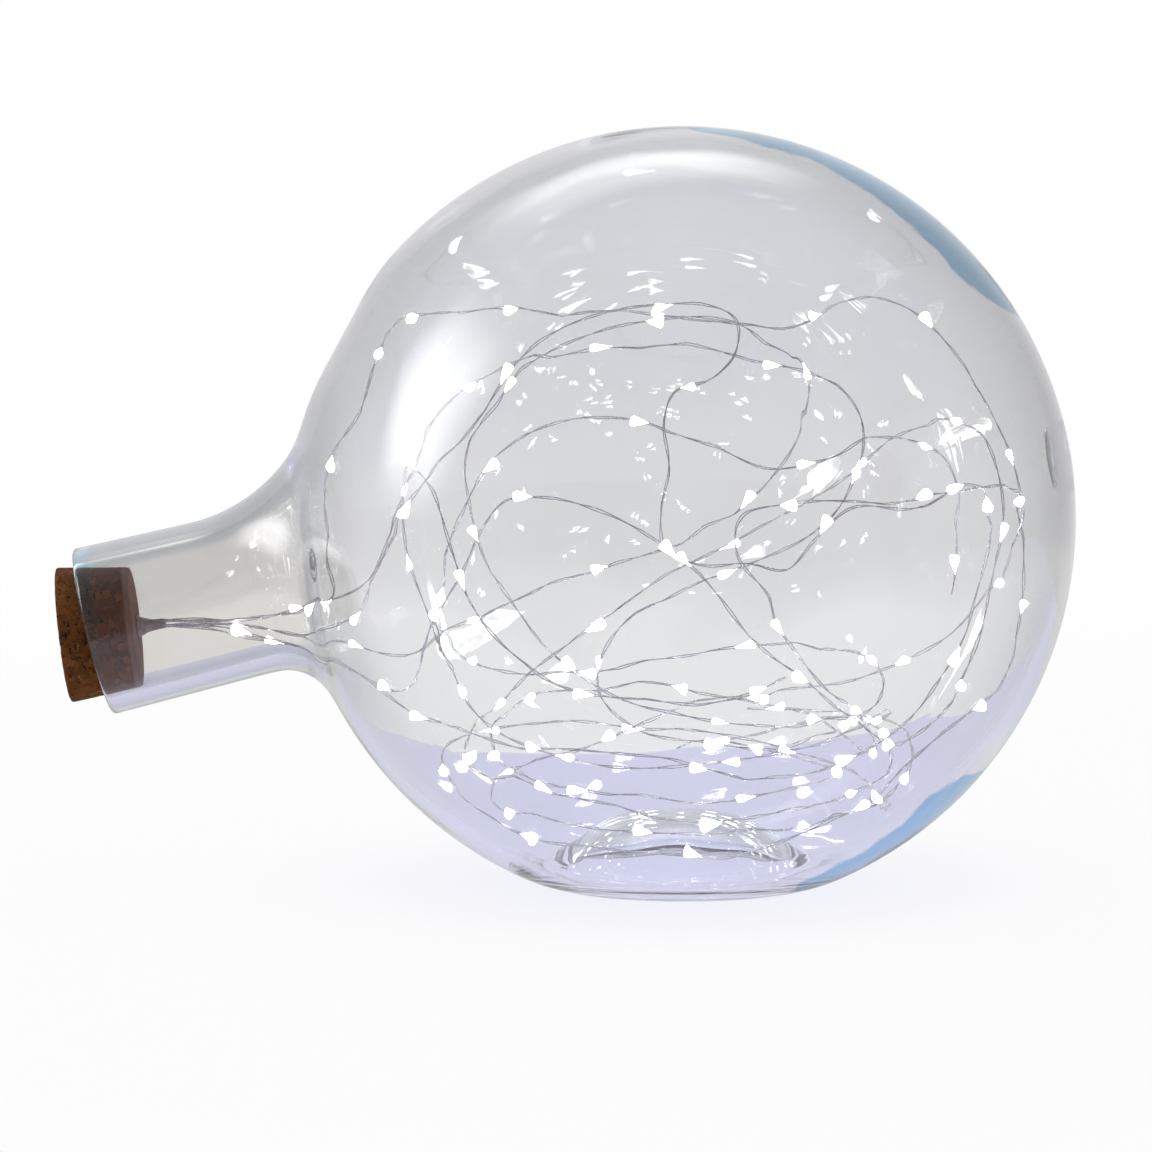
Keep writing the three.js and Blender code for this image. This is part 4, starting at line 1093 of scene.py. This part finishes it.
def twisted_pair_tree(material):
    """Two wires loosely twisted round each other along a curve. Their gap varies along the way."""
    defaults = {
        "Strand": None,
        "Pitch": 0.012,
        "Wire radius": 0.00014,
        "Most gap": 0.0004,
        "Seed": 1.0,
        "Step": TWIST_STEP,
    }
    tree, entry, leave = new_tree("Twisted pair", "GeometryNodeTree", defaults, {"Wires": None})
    spacing = {"Curve": entry["Strand"], "Length": entry["Step"]}
    even = add_node(tree, "GeometryNodeResampleCurve", spacing, mode="LENGTH").outputs["Curve"]
    travelled = add_node(tree, "GeometryNodeSplineParameter").outputs["Length"]
    tilt = maths(tree, "MULTIPLY", maths(tree, "DIVIDE", travelled, entry["Pitch"]), 2 * math.pi)
    twisted = add_node(tree, "GeometryNodeSetCurveTilt", {"Curve": even, "Tilt": tilt}).outputs["Curve"]
    circle = {"Resolution": 5, "Radius": entry["Wire radius"]}
    section = add_node(tree, "GeometryNodeCurvePrimitiveCircle", circle, mode="RADIUS").outputs["Curve"]
    along = maths(tree, "MULTIPLY_ADD", travelled, 90.0, entry["Seed"])
    drifting = {"W": along, "Scale": 1.0, "Detail": 1.0}
    drift = add_node(tree, "ShaderNodeTexNoise", drifting, noise_dimensions="1D").outputs[0]
    apart = mapped(tree, drift, 0.35, 0.65, 0.0, entry["Most gap"])
    half = maths(tree, "MULTIPLY_ADD", apart, 0.5, entry["Wire radius"])
    across = add_node(tree, "GeometryNodeInputNormal").outputs["Normal"]
    wires = add_node(tree, "GeometryNodeJoinGeometry")
    for side in (-1, 1):
        offset = maths(tree, "MULTIPLY", half, 1.05 * side)
        shift = {"Geometry": twisted, "Offset": vector_maths(tree, "SCALE", across, offset)}
        set_inputs(tree, wires, {"Geometry": add_node(tree, "GeometryNodeSetPosition", shift).outputs[0]})
    tube = {"Curve": wires.outputs["Geometry"], "Profile Curve": section, "Fill Caps": True}
    finish_tree(tree, add_node(tree, "GeometryNodeCurveToMesh", tube).outputs["Mesh"], material, leave)
    return tree


def by_chance(tree, kind, low, high, seed):
    """A random value between two others, for each place."""
    socket = ("FLOAT_VECTOR", "FLOAT", "INT").index(kind)
    inputs = {2 * socket: low, 2 * socket + 1: high, "Seed": seed}
    return add_node(tree, "FunctionNodeRandomValue", inputs, data_type=kind).outputs[socket]


def light_drops_tree(material, shapes):
    """A drop over each light: one of several shapes at each place, rolled and scaled by chance."""
    defaults = {"Strand": None, "First light": 0.05, "Spacing": 0.044, "Count": 20, "Seed": 1}
    tree, entry, leave = new_tree("Light drops", "GeometryNodeTree", defaults, {"Drops": None})
    gaps = maths(tree, "SUBTRACT", entry["Count"], 1.0)
    last = maths(tree, "MULTIPLY_ADD", gaps, entry["Spacing"], entry["First light"])
    ends = {"Curve": entry["Strand"], 4: entry["First light"], 5: last}
    lit = add_node(tree, "GeometryNodeTrimCurve", ends, mode="LENGTH").outputs["Curve"]
    counted = {"Curve": lit, "Count": entry["Count"]}
    places = add_node(tree, "GeometryNodeCurveToPoints", counted, mode="COUNT").outputs
    roll = by_chance(tree, "FLOAT", 0.0, 2 * math.pi, entry["Seed"])
    roll_turn = add_node(tree, "ShaderNodeCombineXYZ", {"Z": roll}).outputs["Vector"]
    as_rotation = add_node(tree, "FunctionNodeEulerToRotation", {"Euler": roll_turn}).outputs[0]
    turning = {"Rotation": places["Rotation"], "Rotate By": as_rotation}
    turned = add_node(tree, "FunctionNodeRotateRotation", turning, rotation_space="LOCAL").outputs[0]
    shape_seed = maths(tree, "ADD", entry["Seed"], 100.0)
    scale_seed = maths(tree, "ADD", entry["Seed"], 200.0)
    templates = {"Collection": shapes, "Separate Children": True, "Reset Children": True}
    drops = add_node(tree, "GeometryNodeInstanceOnPoints", {
        "Points": places["Points"],
        "Instance": add_node(tree, "GeometryNodeCollectionInfo", templates).outputs["Instances"],
        "Pick Instance": True,
        "Instance Index": by_chance(tree, "INT", 0, len(shapes.objects) - 1, shape_seed),
        "Rotation": turned,
        "Scale": by_chance(tree, "FLOAT_VECTOR", (0.85, 0.85, 0.82), (1.12, 1.12, 1.15), scale_seed),
    })
    finish_tree(tree, drops.outputs["Instances"], material, leave)
    return tree


def finish_tree(tree, geometry, material, leave):
    smooth = add_node(tree, "GeometryNodeSetShadeSmooth", {"Geometry": geometry}).outputs["Geometry"]
    real = add_node(tree, "GeometryNodeRealizeInstances", {"Geometry": smooth}).outputs["Geometry"]
    coated = {"Geometry": real, "Material": material}
    set_inputs(tree, leave, {0: add_node(tree, "GeometryNodeSetMaterial", coated).outputs["Geometry"]})


def with_tree(curve, tree, name, values):
    """The mesh that a geometry node tree makes of a curve with some input values. The curve is kept."""
    maker = curve.copy()
    bpy.context.scene.collection.objects.link(maker)
    modifier = maker.modifiers.new(tree.name, "NODES")
    modifier.node_group = tree
    identifiers = {
        item.name: item.identifier
        for item in tree.interface.items_tree if item.item_type == "SOCKET" and item.in_out == "INPUT"
    }
    for key, value in values.items():
        modifier[identifiers[key]] = value
    return plain_mesh_of(name, maker)


def drop_shape(settings, number):
    """One dab of resin round the wire: drawn out to a point at one end, broad and dented at the other."""
    chance = random.Random(40 + number)
    rings = (0.13, 0.30, 0.47, 0.64, 0.79, 0.91, 0.975)
    sides = 10
    flare = chance.uniform(0.8, 1.7)
    squareness = chance.uniform(4, 10)
    dent = chance.uniform(0.0, 0.22)
    aside = chance.uniform(0.3, 0.8)
    flat = chance.uniform(0.6, 0.9)
    long = settings.length * chance.choice((-1, 1))
    points = []
    for t in rings:
        fullness = t ** flare * (1 - t ** squareness) ** 0.5
        for side in range(sides):
            turn = 2 * math.pi * side / sides
            spot = Vector((3 * t, 2 * math.cos(turn), 2 * math.sin(turn) + 5 * number))
            radius = settings.radius * fullness * (1 + 0.22 * noise.noise(spot))
            beside = radius * (math.cos(turn) + aside)
            points.append(Vector((beside, radius * flat * math.sin(turn), long * (t - 0.5))))
    broad = settings.radius * aside * 0.4
    ends = (len(points), len(points) + 1)
    points += [Vector((0, 0, -0.5 * long)), Vector((broad, 0, long * (0.5 - dent)))]
    faces = []
    for side in range(sides):
        after = (side + 1) % sides
        for ring in range(len(rings) - 1):
            low = ring * sides
            high = low + sides
            faces.append((low + side, low + after, high + after, high + side))
        top = (len(rings) - 1) * sides
        faces.append((after, side, ends[0]))
        faces.append((top + side, top + after, ends[1]))
    drop = closed_piece(f"drop_shape_{number}", points, faces, bpy.data.materials["lit_resin"])
    glow = drop.data.attributes.new("glow", "FLOAT", "POINT")
    reach = 0.5 * settings.length
    glow.data.foreach_set("value", [1 - abs(vertex.co.z) / reach for vertex in drop.data.vertices])
    return drop


def drop_shapes(settings, count):
    shapes = bpy.data.collections.new("drop_shapes")
    for number in range(count):
        drop = drop_shape(settings, number)
        bpy.context.scene.collection.objects.unlink(drop)
        shapes.objects.link(drop)
    return shapes


# Operators

class LIGHTGLOBE_OT_stage(bpy.types.Operator):
    """Adds the camera, the soft lamps, the backdrop and the pale floor"""

    bl_idname = "light_globe.stage"
    bl_label = "Studio"

    def execute(self, context):
        settings = context.scene.light_globe_stage
        for kind in ("max_bounces", "transmission_bounces", "glossy_bounces"):
            setattr(context.scene.cycles, kind, settings.bounces)
        place_camera(context.scene, settings)
        soft_lamp(
            "back_strip", (-0.035, 0.345, 0.495), (0.15, 0.56), 0.33, ("diffuse", "transmission"), -0.16
        )
        soft_lamp("high_strip", (-0.06, 0.345, 0.615), (0.28, 0.72), 1.1, ("glossy",))
        soft_lamp("side_softbox", (-0.88, 0.06, 0.50), (0.95, 0.55), 5.4, ("diffuse",))
        soft_lamp("side_window", (-0.88, -0.02, 0.50), (0.95, 0.75), 16.0, ("glossy",))
        soft_lamp("overhead_softbox", (0.10, -0.25, 1.15), (0.80, 0.80), 1.6, ("diffuse",))
        backdrop(context.scene, settings)
        pale_floor(settings)
        return {"FINISHED"}


def place_camera(scene, settings):
    data = bpy.data.cameras.new("camera")
    data.lens = settings.camera_lens
    data.sensor_width = 36
    data.dof.use_dof = False
    camera = bpy.data.objects.new("camera", data)
    scene.collection.objects.link(camera)
    down = settings.camera_height
    right = Vector((1, 0, 0))
    forward = Vector((0, math.cos(down), -math.sin(down)))
    above = Vector((0, math.sin(down), math.cos(down)))
    aim = BALL_CENTRE - right * settings.aim_left - above * settings.aim_down
    place = aim - forward * settings.camera_distance
    camera.matrix_world = Matrix((
        (right.x, above.x, -forward.x, place.x),
        (right.y, above.y, -forward.y, place.y),
        (right.z, above.z, -forward.z, place.z),
        (0, 0, 0, 1),
    ))
    scene.camera = camera


def soft_lamp(name, place, sides, power, seen_by, turn=0.0):
    """A rectangular lamp that points at the ball, brightest in its middle so that its mirror image is soft.
    It lights mat surfaces, shows in reflections or shows through glass, as the kinds of ray that see it."""
    data = bpy.data.lights.new(name, "AREA")
    data.shape = "RECTANGLE"
    data.size = sides[1]
    data.size_y = sides[0]
    data.energy = power
    data.use_nodes = True
    tree = data.node_tree
    spot = add_node(tree, "ShaderNodeNewGeometry").outputs["Parametric"]
    from_middle = vector_maths(tree, "MULTIPLY_ADD", spot, (2, 2, 0), (-1, -1, 0))
    parts = separated(tree, vector_maths(tree, "ABSOLUTE", from_middle))
    soft_across, soft_up = (mapped(tree, parts[axis], 1.0, 0.25, smooth=True) for axis in ("X", "Y"))
    strength = maths(tree, "MULTIPLY", soft_across, soft_up)
    tree.links.new(strength, tree.nodes["Emission"].inputs["Strength"])
    lamp = bpy.data.objects.new(name, data)
    lamp.location = place
    aim = (BALL_CENTRE - Vector(place)).to_track_quat("-Z", "Y")
    lamp.rotation_euler = (aim @ Matrix.Rotation(turn, 3, "Z").to_quaternion()).to_euler()
    lamp.visible_camera = False
    for ray in ("diffuse", "glossy", "transmission"):
        setattr(lamp, f"visible_{ray}", ray in seen_by)
    bpy.context.scene.collection.objects.link(lamp)
    return lamp


def backdrop(scene, settings):
    """White where it is seen. In glass and metal, a white sweep that darkens upwards, as a studio does.
    It lights the object from behind and above more than from the front."""
    world = bpy.data.worlds.new("studio")
    world.use_nodes = True
    scene.world = world
    tree = world.node_tree
    light = tree.nodes["Background"]
    white = add_node(tree, "ShaderNodeBackground", {"Color": rgba(settings.background), "Strength": 1.0})
    towards = add_node(tree, "ShaderNodeTexCoord").outputs["Generated"]
    parts = separated(tree, towards)
    front_to_back = mapped(tree, parts["Y"], -1.0, 0.8, 0.30, 0.78)
    set_inputs(tree, light, {"Color": (0.96, 0.98, 1.0, 1), "Strength": front_to_back})
    sweep = colour_ramp(tree, mapped(tree, parts["Z"], -0.2, 1.0), (
        (0.050, (0.97, 0.97, 0.97)),
        (0.0535, (0.92, 0.92, 0.925)),
        (0.060, (0.88, 0.88, 0.885)),
        (0.066, (0.845, 0.845, 0.855)),
        (0.080, (0.84, 0.84, 0.855)),
        (0.100, (0.79, 0.79, 0.81)),
        (0.40, (0.78, 0.785, 0.805)),
        (0.85, (0.50, 0.52, 0.55)),
    ))
    shares = (
        (-0.40, 0.80), (-0.23, 0.87), (-0.13, 0.94), (-0.09, 1.0),
        (0.05, 1.0), (0.11, 0.92), (0.28, 0.79), (0.48, 0.67),
    )
    across = mapped(tree, parts["X"], -1.0, 1.0)
    sides = colour_ramp(tree, across, [(0.5 + 0.5 * x, (share,) * 3) for x, share in shares])
    path = add_node(tree, "ShaderNodeLightPath").outputs
    in_front = mapped(tree, path["Is Transmission Ray"], 0.0, 1.0, 0.18, 0.65)
    front = mapped(tree, parts["Y"], -0.9, -0.1, in_front, 1.0)
    strength = maths(tree, "MULTIPLY", sides, front)
    mirrored = add_node(tree, "ShaderNodeBackground", {"Color": sweep, "Strength": strength})
    through = maths(tree, "MAXIMUM", path["Is Glossy Ray"], path["Is Transmission Ray"])
    mixed = mixed_shader(tree, through, light.outputs[0], mirrored.outputs[0])
    mixed = mixed_shader(tree, path["Is Camera Ray"], mixed, white.outputs[0])
    tree.links.new(mixed, tree.nodes["World Output"].inputs["Surface"])


def pale_floor(settings):
    """A round white floor that fades out into the backdrop. Through the glass it shows the cool pool of
    light that the drops throw on it, up to the far edge of the table."""
    material, tree, shader = new_material("pale_floor")
    place = object_place(tree)
    from_ball = vector_maths(tree, "DISTANCE", place, (BALL_CENTRE.x, BALL_CENTRE.y, 0))
    path = add_node(tree, "ShaderNodeLightPath").outputs
    through = path["Is Transmission Ray"]
    pool_edge = (0.02, 0.12)
    pool_share = 0.35
    pool = mapped(tree, from_ball, *pool_edge, pool_share, 0.0, smooth=True)
    cool = maths(tree, "MAXIMUM", pool, through)
    tint = mixed_colour(tree, cool, settings.floor_colour, settings.pool_colour)
    set_inputs(tree, shader, {"Base Color": tint, "Roughness": 0.7, "Specular IOR Level": 0.2})
    reflected = maths(tree, "SUBTRACT", path["Is Glossy Ray"], through)
    dimmed = mapped(tree, reflected, 0.0, 1.0, 1.0, 0.6)
    plain = add_node(tree, "ShaderNodeEmission", {"Color": tint, "Strength": dimmed})
    seen = maths(tree, "MAXIMUM", path["Is Camera Ray"], path["Is Glossy Ray"])
    seen = maths(tree, "MAXIMUM", seen, through)
    plain_share = maths(tree, "MULTIPLY", seen, 0.95)
    lit = mixed_shader(tree, plain_share, shader.outputs["BSDF"], plain.outputs[0])
    fade = mapped(tree, from_ball, 0.25, 0.95 * settings.floor_radius, smooth=True)
    edge_turn = math.radians(19.7)
    table_edge = (0.174, 0.177)
    across = (-math.sin(edge_turn), math.cos(edge_turn), 0)
    behind = vector_maths(tree, "DOT_PRODUCT", place, across)
    past_edge = mapped(tree, behind, *table_edge)
    ends = {"Factor": through, 2: fade, 3: past_edge}
    gone = add_node(tree, "ShaderNodeMix", ends, data_type="FLOAT").outputs[0]
    clear = add_node(tree, "ShaderNodeBsdfTransparent").outputs["BSDF"]
    mixed = mixed_shader(tree, gone, lit, clear)
    tree.links.new(mixed, tree.nodes["Material Output"].inputs["Surface"])
    sides = 96
    below = -0.0001
    rim = []
    for i in range(sides):
        turn = 2 * math.pi * i / sides
        reach = settings.floor_radius
        rim.append((BALL_CENTRE.x + reach * math.cos(turn), reach * math.sin(turn), below))
    mesh = bpy.data.meshes.new("pale_floor")
    mesh.from_pydata(rim, [], [tuple(range(sides))])
    mesh.materials.append(material)
    link_piece("pale_floor", mesh)


class LIGHTGLOBE_OT_strands(bpy.types.Operator):
    """Adds the six strands: twisted wires and a lit drop over each light"""

    bl_idname = "light_globe.strands"
    bl_label = "Strands of lights"

    def execute(self, context):
        glass = context.scene.light_globe_glass
        settings = context.scene.light_globe_strands
        lights = context.scene.light_globe_lights
        wire = silver_wire(settings)
        resin = lit_resin(lights)
        shapes = drop_shapes(lights, count=7)
        pair_tree = twisted_pair_tree(wire)
        drops_tree = light_drops_tree(resin, shapes)
        for number, strand in enumerate(STRANDS, start=1):
            line = strand_line(glass, settings, strand, number)
            curve = strand_curve(f"strand_{number}", line)
            wires = with_tree(curve, pair_tree, f"strand_wires_{number}", {
                "Pitch": settings.pitch,
                "Wire radius": 0.5 * settings.wire_diameter,
                "Most gap": settings.wire_gap,
                "Seed": SEED_STEP * number,
                "Step": TWIST_STEP,
            })
            drops = with_tree(curve, drops_tree, f"strand_drops_{number}", {
                "First light": strand["first_light"],
                "Spacing": settings.light_spacing,
                "Count": settings.light_count,
                "Seed": number,
            })
            bpy.data.objects.remove(curve)
            for piece in (wires, drops):
                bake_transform(piece)
            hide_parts(f"light_strand_{number}")
        for shape in list(shapes.objects):
            bpy.data.objects.remove(shape)
        bpy.data.collections.remove(shapes)
        return {"FINISHED"}


class LIGHTGLOBE_OT_glass(bpy.types.Operator):
    """Adds the blown ball with its neck, shoulder, lip and pushed-up base"""

    bl_idname = "light_globe.glass"
    bl_label = "Glass"

    def execute(self, context):
        settings = context.scene.light_globe_glass
        body = glass_body(settings, clear_glass(settings))
        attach(body, "globe")
        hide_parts("glass_globe")
        return {"FINISHED"}


class LIGHTGLOBE_OT_cork(bpy.types.Operator):
    """Adds the tapered cork with its pits"""

    bl_idname = "light_globe.cork"
    bl_label = "Cork"

    def execute(self, context):
        settings = context.scene.light_globe_cork
        module = context.scene.light_globe_module
        floor = 0.003
        collar_seat = COLLAR_FACE - module.collar_height - SEAT_GAP
        outline = rounded(
            [
                (settings.inner_radius, CORK_END),
                (settings.outer_radius, CORK_FACE),
                (module.collar_radius + FIT_GAP, CORK_FACE),
                (module.collar_radius + FIT_GAP, collar_seat),
                (module.case_radius + FIT_GAP, collar_seat),
                (module.case_radius + FIT_GAP, CORK_END + floor),
                (WIRE_HOLE, CORK_END + floor),
                (WIRE_HOLE, CORK_END),
            ],
            settings.edge,
        )
        points, faces = revolve(divided(outline, 0.0004), sides=220)
        points = [pitted(point, settings) for point in points]
        cork = closed_piece("cork", in_cork(points), faces, granular_cork(settings))
        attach(cork, "stopper")
        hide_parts("cork_stopper")
        return {"FINISHED"}


def pitted(point, settings):
    """A point of the cork moved in where a pit or a gap between granules lies."""
    radius = Vector((point.x, point.y)).length
    taper = settings.outer_radius - settings.inner_radius
    side = settings.inner_radius + taper * (point.z - CORK_END) / (CORK_FACE - CORK_END)
    skin = 0.0001
    under_skin = 0.0012
    on_side = smoothstep(side - under_skin, side - skin, radius)
    off_wire_hole = smoothstep(0.0022, 0.004, radius)
    on_end = smoothstep(CORK_END + under_skin, CORK_END + skin, point.z) * off_wire_hole
    on_face = smoothstep(CORK_FACE - under_skin, CORK_FACE - skin, point.z)
    granules = noise.voronoi(point * GRANULES_PER_METRE)[0]
    gap = 1 - smoothstep(0.02, 0.16, granules[1] - granules[0])
    open_here = smoothstep(0.02, 0.35, noise.noise(point * OPEN_PATCHES_PER_METRE))
    pit = smoothstep(0.30, 0.62, noise.noise(point * PITS_PER_METRE + Vector((9, 2, 4))))
    depth = settings.pit_depth * max(0.55 * gap * open_here, pit)
    depth += 0.12 * settings.pit_depth * (1 + noise.noise(point * GRAIN_PER_METRE))
    if radius < ON_AXIS:
        return point
    outward = Vector((point.x, point.y, 0)) / radius
    ends = 1 if point.z > 0.5 * (CORK_END + CORK_FACE) else -1
    return point - outward * depth * on_side - Vector((0, 0, ends)) * depth * max(on_end, on_face) * 0.6


class LIGHTGLOBE_OT_seal(bpy.types.Operator):
    """Adds the cone of glue, drawn out along the wires where they leave the cork"""

    bl_idname = "light_globe.seal"
    bl_label = "Glue seal"

    def execute(self, context):
        settings = context.scene.light_globe_cork
        base = 0.0029
        nose = 0.00125
        tip = 0.0009
        steps = 26
        profile = [(0, SEAL_SEAT), (base, SEAL_SEAT)]
        for step in range(1, steps + 1):
            t = step / steps
            radius = nose + (base - nose) * (1 - t) ** 2.6
            if t > 0.9:
                radius = tip + (radius - tip) * math.sqrt(max(1 - ((t - 0.9) / 0.1) ** 2, 0))
            profile.append((radius, SEAL_SEAT + (SEAL_NOSE - SEAL_SEAT) * t))
        profile.append((0, SEAL_NOSE))
        points, faces = revolve(profile, sides=40)
        uneven = []
        for point in points:
            turn = math.atan2(point.y, point.x)
            drawn = smoothstep(SEAL_SEAT, SEAL_NOSE, point.z)
            ridge = 1 + 0.10 * math.cos(3 * turn + 300 * point.z) * drawn
            ridge += 0.10 * noise.noise(point * 600)
            uneven.append(Vector((point.x * ridge, point.y * ridge, point.z)))
        seal = closed_piece("glue_seal", in_cork(uneven), faces, drawn_glue(settings))
        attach(seal, "stopper")
        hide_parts("wire_seal")
        return {"FINISHED"}


class LIGHTGLOBE_OT_module(bpy.types.Operator):
    """Adds the battery case in the cork, its twist cap and its power button"""

    bl_idname = "light_globe.module"
    bl_label = "Battery module"

    def execute(self, context):
        settings = context.scene.light_globe_module
        plastic = moulded("black_plastic", settings.plastic_colour, 0.42)
        rubber = moulded("grey_rubber", settings.rubber_colour, 0.62, grain_size=0.0005, depth=0.00003)
        case = battery_case(settings, plastic)
        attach(case, "stopper")
        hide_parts("battery_case")
        cap = twist_cap(settings, plastic)
        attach(cap, "cap")
        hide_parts("twist_cap")
        button = power_button(settings, rubber)
        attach(button, "button")
        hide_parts("power_button")
        return {"FINISHED"}


def battery_case(settings, material):
    """The case with the three grooves that the cap's lugs drop into and turn along."""
    collar_low = COLLAR_FACE - settings.collar_height
    inside = CASE_BOTTOM + CASE_FLOOR
    body = rounded(
        [
            (WIRE_HOLE, CASE_BOTTOM),
            (settings.case_radius, CASE_BOTTOM),
            (settings.case_radius, collar_low),
            (settings.collar_radius, collar_low),
            (settings.collar_radius, COLLAR_FACE),
            (settings.case_bore, COLLAR_FACE),
            (settings.case_bore, inside),
            (WIRE_HOLE, inside),
        ],
        0.00035,
    )
    case = turned_piece("case_shell", body, 96, material, SHARP)
    lug_low = COLLAR_FACE - settings.cap_plate - settings.cap_skirt
    groove = settings.cap_radius + LUG_REACH + FIT_GAP
    low = lug_low - FIT_GAP
    high = lug_low + LUG_THICKNESS + 0.5 * FIT_GAP
    play = 1.5
    inner = settings.case_bore - 0.001
    tools = []
    for lug in range(LUG_COUNT):
        start = 360 * lug / LUG_COUNT - play
        free = start + CAP_TURN
        end = free + LUG_ANGLE + 2 * play
        sectors = (
            ring_sector(groove, inner, start, end, low, high),
            ring_sector(groove, inner, free, end, low, COLLAR_FACE + 0.001),
        )
        for i, (sector_points, sector_faces) in enumerate(sectors):
            tools.append(closed_piece(f"groove_{lug}_{i}", sector_points, sector_faces, material))
    return combined(case, tools, "DIFFERENCE", SHARP)


def twist_cap(settings, material):
    """The cap with its lugs, two finger dimples and the hole for the button."""
    plate_low = COLLAR_FACE - settings.cap_plate
    lug_low = plate_low - settings.cap_skirt
    skirt_bore = settings.cap_radius - 0.0009
    hole = settings.button_radius + FIT_GAP
    body = rounded(
        [
            (hole, plate_low),
            (skirt_bore, plate_low),
            (skirt_bore, lug_low),
            (settings.cap_radius, lug_low),
            (settings.cap_radius, COLLAR_FACE),
            (hole, COLLAR_FACE),
        ],
        0.0003,
    )
    cap = turned_piece("cap_shell", body, 96, material, SHARP)
    dimple_radius = 0.0026
    dimple_depth = 0.0008
    from_centre = 0.007
    tools = []
    for side in (-1, 1):
        steps = 10
        turns = [0.5 * math.pi * i / steps for i in range(-steps, steps + 1)]
        arc = [(dimple_radius * math.cos(turn), dimple_radius * math.sin(turn)) for turn in turns]
        ball_points, ball_faces = revolve([(max(r, 0), z) for r, z in arc], sides=32)
        height = COLLAR_FACE + dimple_radius - dimple_depth
        placed = [point + Vector((0, side * from_centre, height)) for point in ball_points]
        tools.append(closed_piece(f"dimple_{side}", in_cork(placed), ball_faces, material))
    cap = combined(cap, tools, "DIFFERENCE", SHARP)
    lugs = []
    for lug in range(LUG_COUNT):
        start = 360 * lug / LUG_COUNT
        reach = settings.cap_radius + LUG_REACH
        lug_points, lug_faces = ring_sector(
            reach, settings.cap_radius - 0.0004, start, start + LUG_ANGLE, lug_low, lug_low + LUG_THICKNESS
        )
        lugs.append(closed_piece(f"lug_{lug}", lug_points, lug_faces, material))
    return combined(cap, lugs, "UNION", SHARP)


def power_button(settings, material):
    """A rubber key with a shallow dish, a flange under the cap and a stem on the switch."""
    top = COLLAR_FACE - SEAT_GAP
    flange_high = COLLAR_FACE - settings.cap_plate - SEAT_GAP
    flange_low = flange_high - 0.0005
    stem_low = SWITCH_TOP - FIT_GAP
    dish = 0.00025
    dish_radius = 0.8 * settings.button_radius
    stem_radius = 0.0014
    flange_radius = 0.004
    outline = [
        (0, stem_low),
        (stem_radius, stem_low),
        (stem_radius, flange_low),
        (flange_radius, flange_low),
        (flange_radius, flange_high),
        (settings.button_radius, flange_high),
        (settings.button_radius, top),
        (dish_radius, top),
    ]
    outline = rounded(outline, 0.0003, closed=False)
    steps = 8
    for step in range(1, steps):
        t = 1 - step / steps
        outline.append((dish_radius * t, top - dish * (1 - t ** 2)))
    outline.append((0, top - dish))
    return turned_piece("button_key", outline, 64, material, math.radians(50))


class LIGHTGLOBE_OT_inner_parts(bpy.types.Operator):
    """Finishes the cells, springs, board and switch inside the case"""

    bl_idname = "light_globe.inner_parts"
    bl_label = "Inner parts"

    def execute(self, context):
        settings = context.scene.light_globe_module
        steel = plated("nickel_steel", settings.steel_colour, 0.24)
        brass = plated("spring_brass", settings.brass_colour, 0.3)
        laminate = moulded("board_laminate", settings.board_colour, 0.32, grain_size=0.0006, depth=0.000008)
        resin = moulded("chip_resin", (0.015, 0.015, 0.016), 0.5)
        dark_plastic = moulded("switch_plastic", settings.plastic_colour, 0.5)
        finishes = {
            steel: ("lower_cell", "upper_cell"),
            brass: ("lower_spring", "upper_spring", "contact_strip"),
            laminate: ("circuit_board",),
            resin: ("driver_chip", "resistor"),
            dark_plastic: ("click_switch",),
        }
        for material, names in finishes.items():
            for name in names:
                materials = frame["nodes"][name].data.materials
                materials.clear()
                materials.append(material)
        return {"FINISHED"}


class LIGHTGLOBE_PT_panel(bpy.types.Panel):
    """Lists the pieces of the light globe"""

    bl_idname = "LIGHTGLOBE_PT_panel"
    bl_label = "Light Globe"
    bl_space_type = "VIEW_3D"
    bl_region_type = "UI"
    bl_category = "Light Globe"

    def draw(self, context):
        for operator in OPERATORS:
            self.layout.operator(operator.bl_idname)
        for name in SETTINGS:
            settings = getattr(context.scene, name)
            box = self.layout.box()
            box.label(text=name.replace("light_globe_", "").capitalize())
            for key in settings.__annotations__:
                box.prop(settings, key)


SETTINGS = {
    "light_globe_glass": GlassSettings,
    "light_globe_strands": StrandSettings,
    "light_globe_lights": LightSettings,
    "light_globe_cork": CorkSettings,
    "light_globe_module": ModuleSettings,
    "light_globe_stage": StageSettings,
}
OPERATORS = (
    LIGHTGLOBE_OT_stage,
    LIGHTGLOBE_OT_strands,
    LIGHTGLOBE_OT_glass,
    LIGHTGLOBE_OT_cork,
    LIGHTGLOBE_OT_seal,
    LIGHTGLOBE_OT_module,
    LIGHTGLOBE_OT_inner_parts,
)


def register():
    for group in SETTINGS.values():
        bpy.utils.register_class(group)
    for operator in OPERATORS:
        bpy.utils.register_class(operator)
    bpy.utils.register_class(LIGHTGLOBE_PT_panel)
    for name, group in SETTINGS.items():
        setattr(bpy.types.Scene, name, bpy.props.PointerProperty(type=group))


def unregister():
    for name in SETTINGS:
        delattr(bpy.types.Scene, name)
    bpy.utils.unregister_class(LIGHTGLOBE_PT_panel)
    for operator in reversed(OPERATORS):
        bpy.utils.unregister_class(operator)
    for group in reversed(SETTINGS.values()):
        bpy.utils.unregister_class(group)


def main():
    register()
    bpy.context.scene.view_settings.view_transform = "Standard"
    bpy.ops.light_globe.stage()
    bpy.ops.light_globe.strands()
    bpy.ops.light_globe.glass()
    bpy.ops.light_globe.cork()
    bpy.ops.light_globe.seal()
    bpy.ops.light_globe.module()
    bpy.ops.light_globe.inner_parts()
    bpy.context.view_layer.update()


if __name__ == "__main__":
    main()
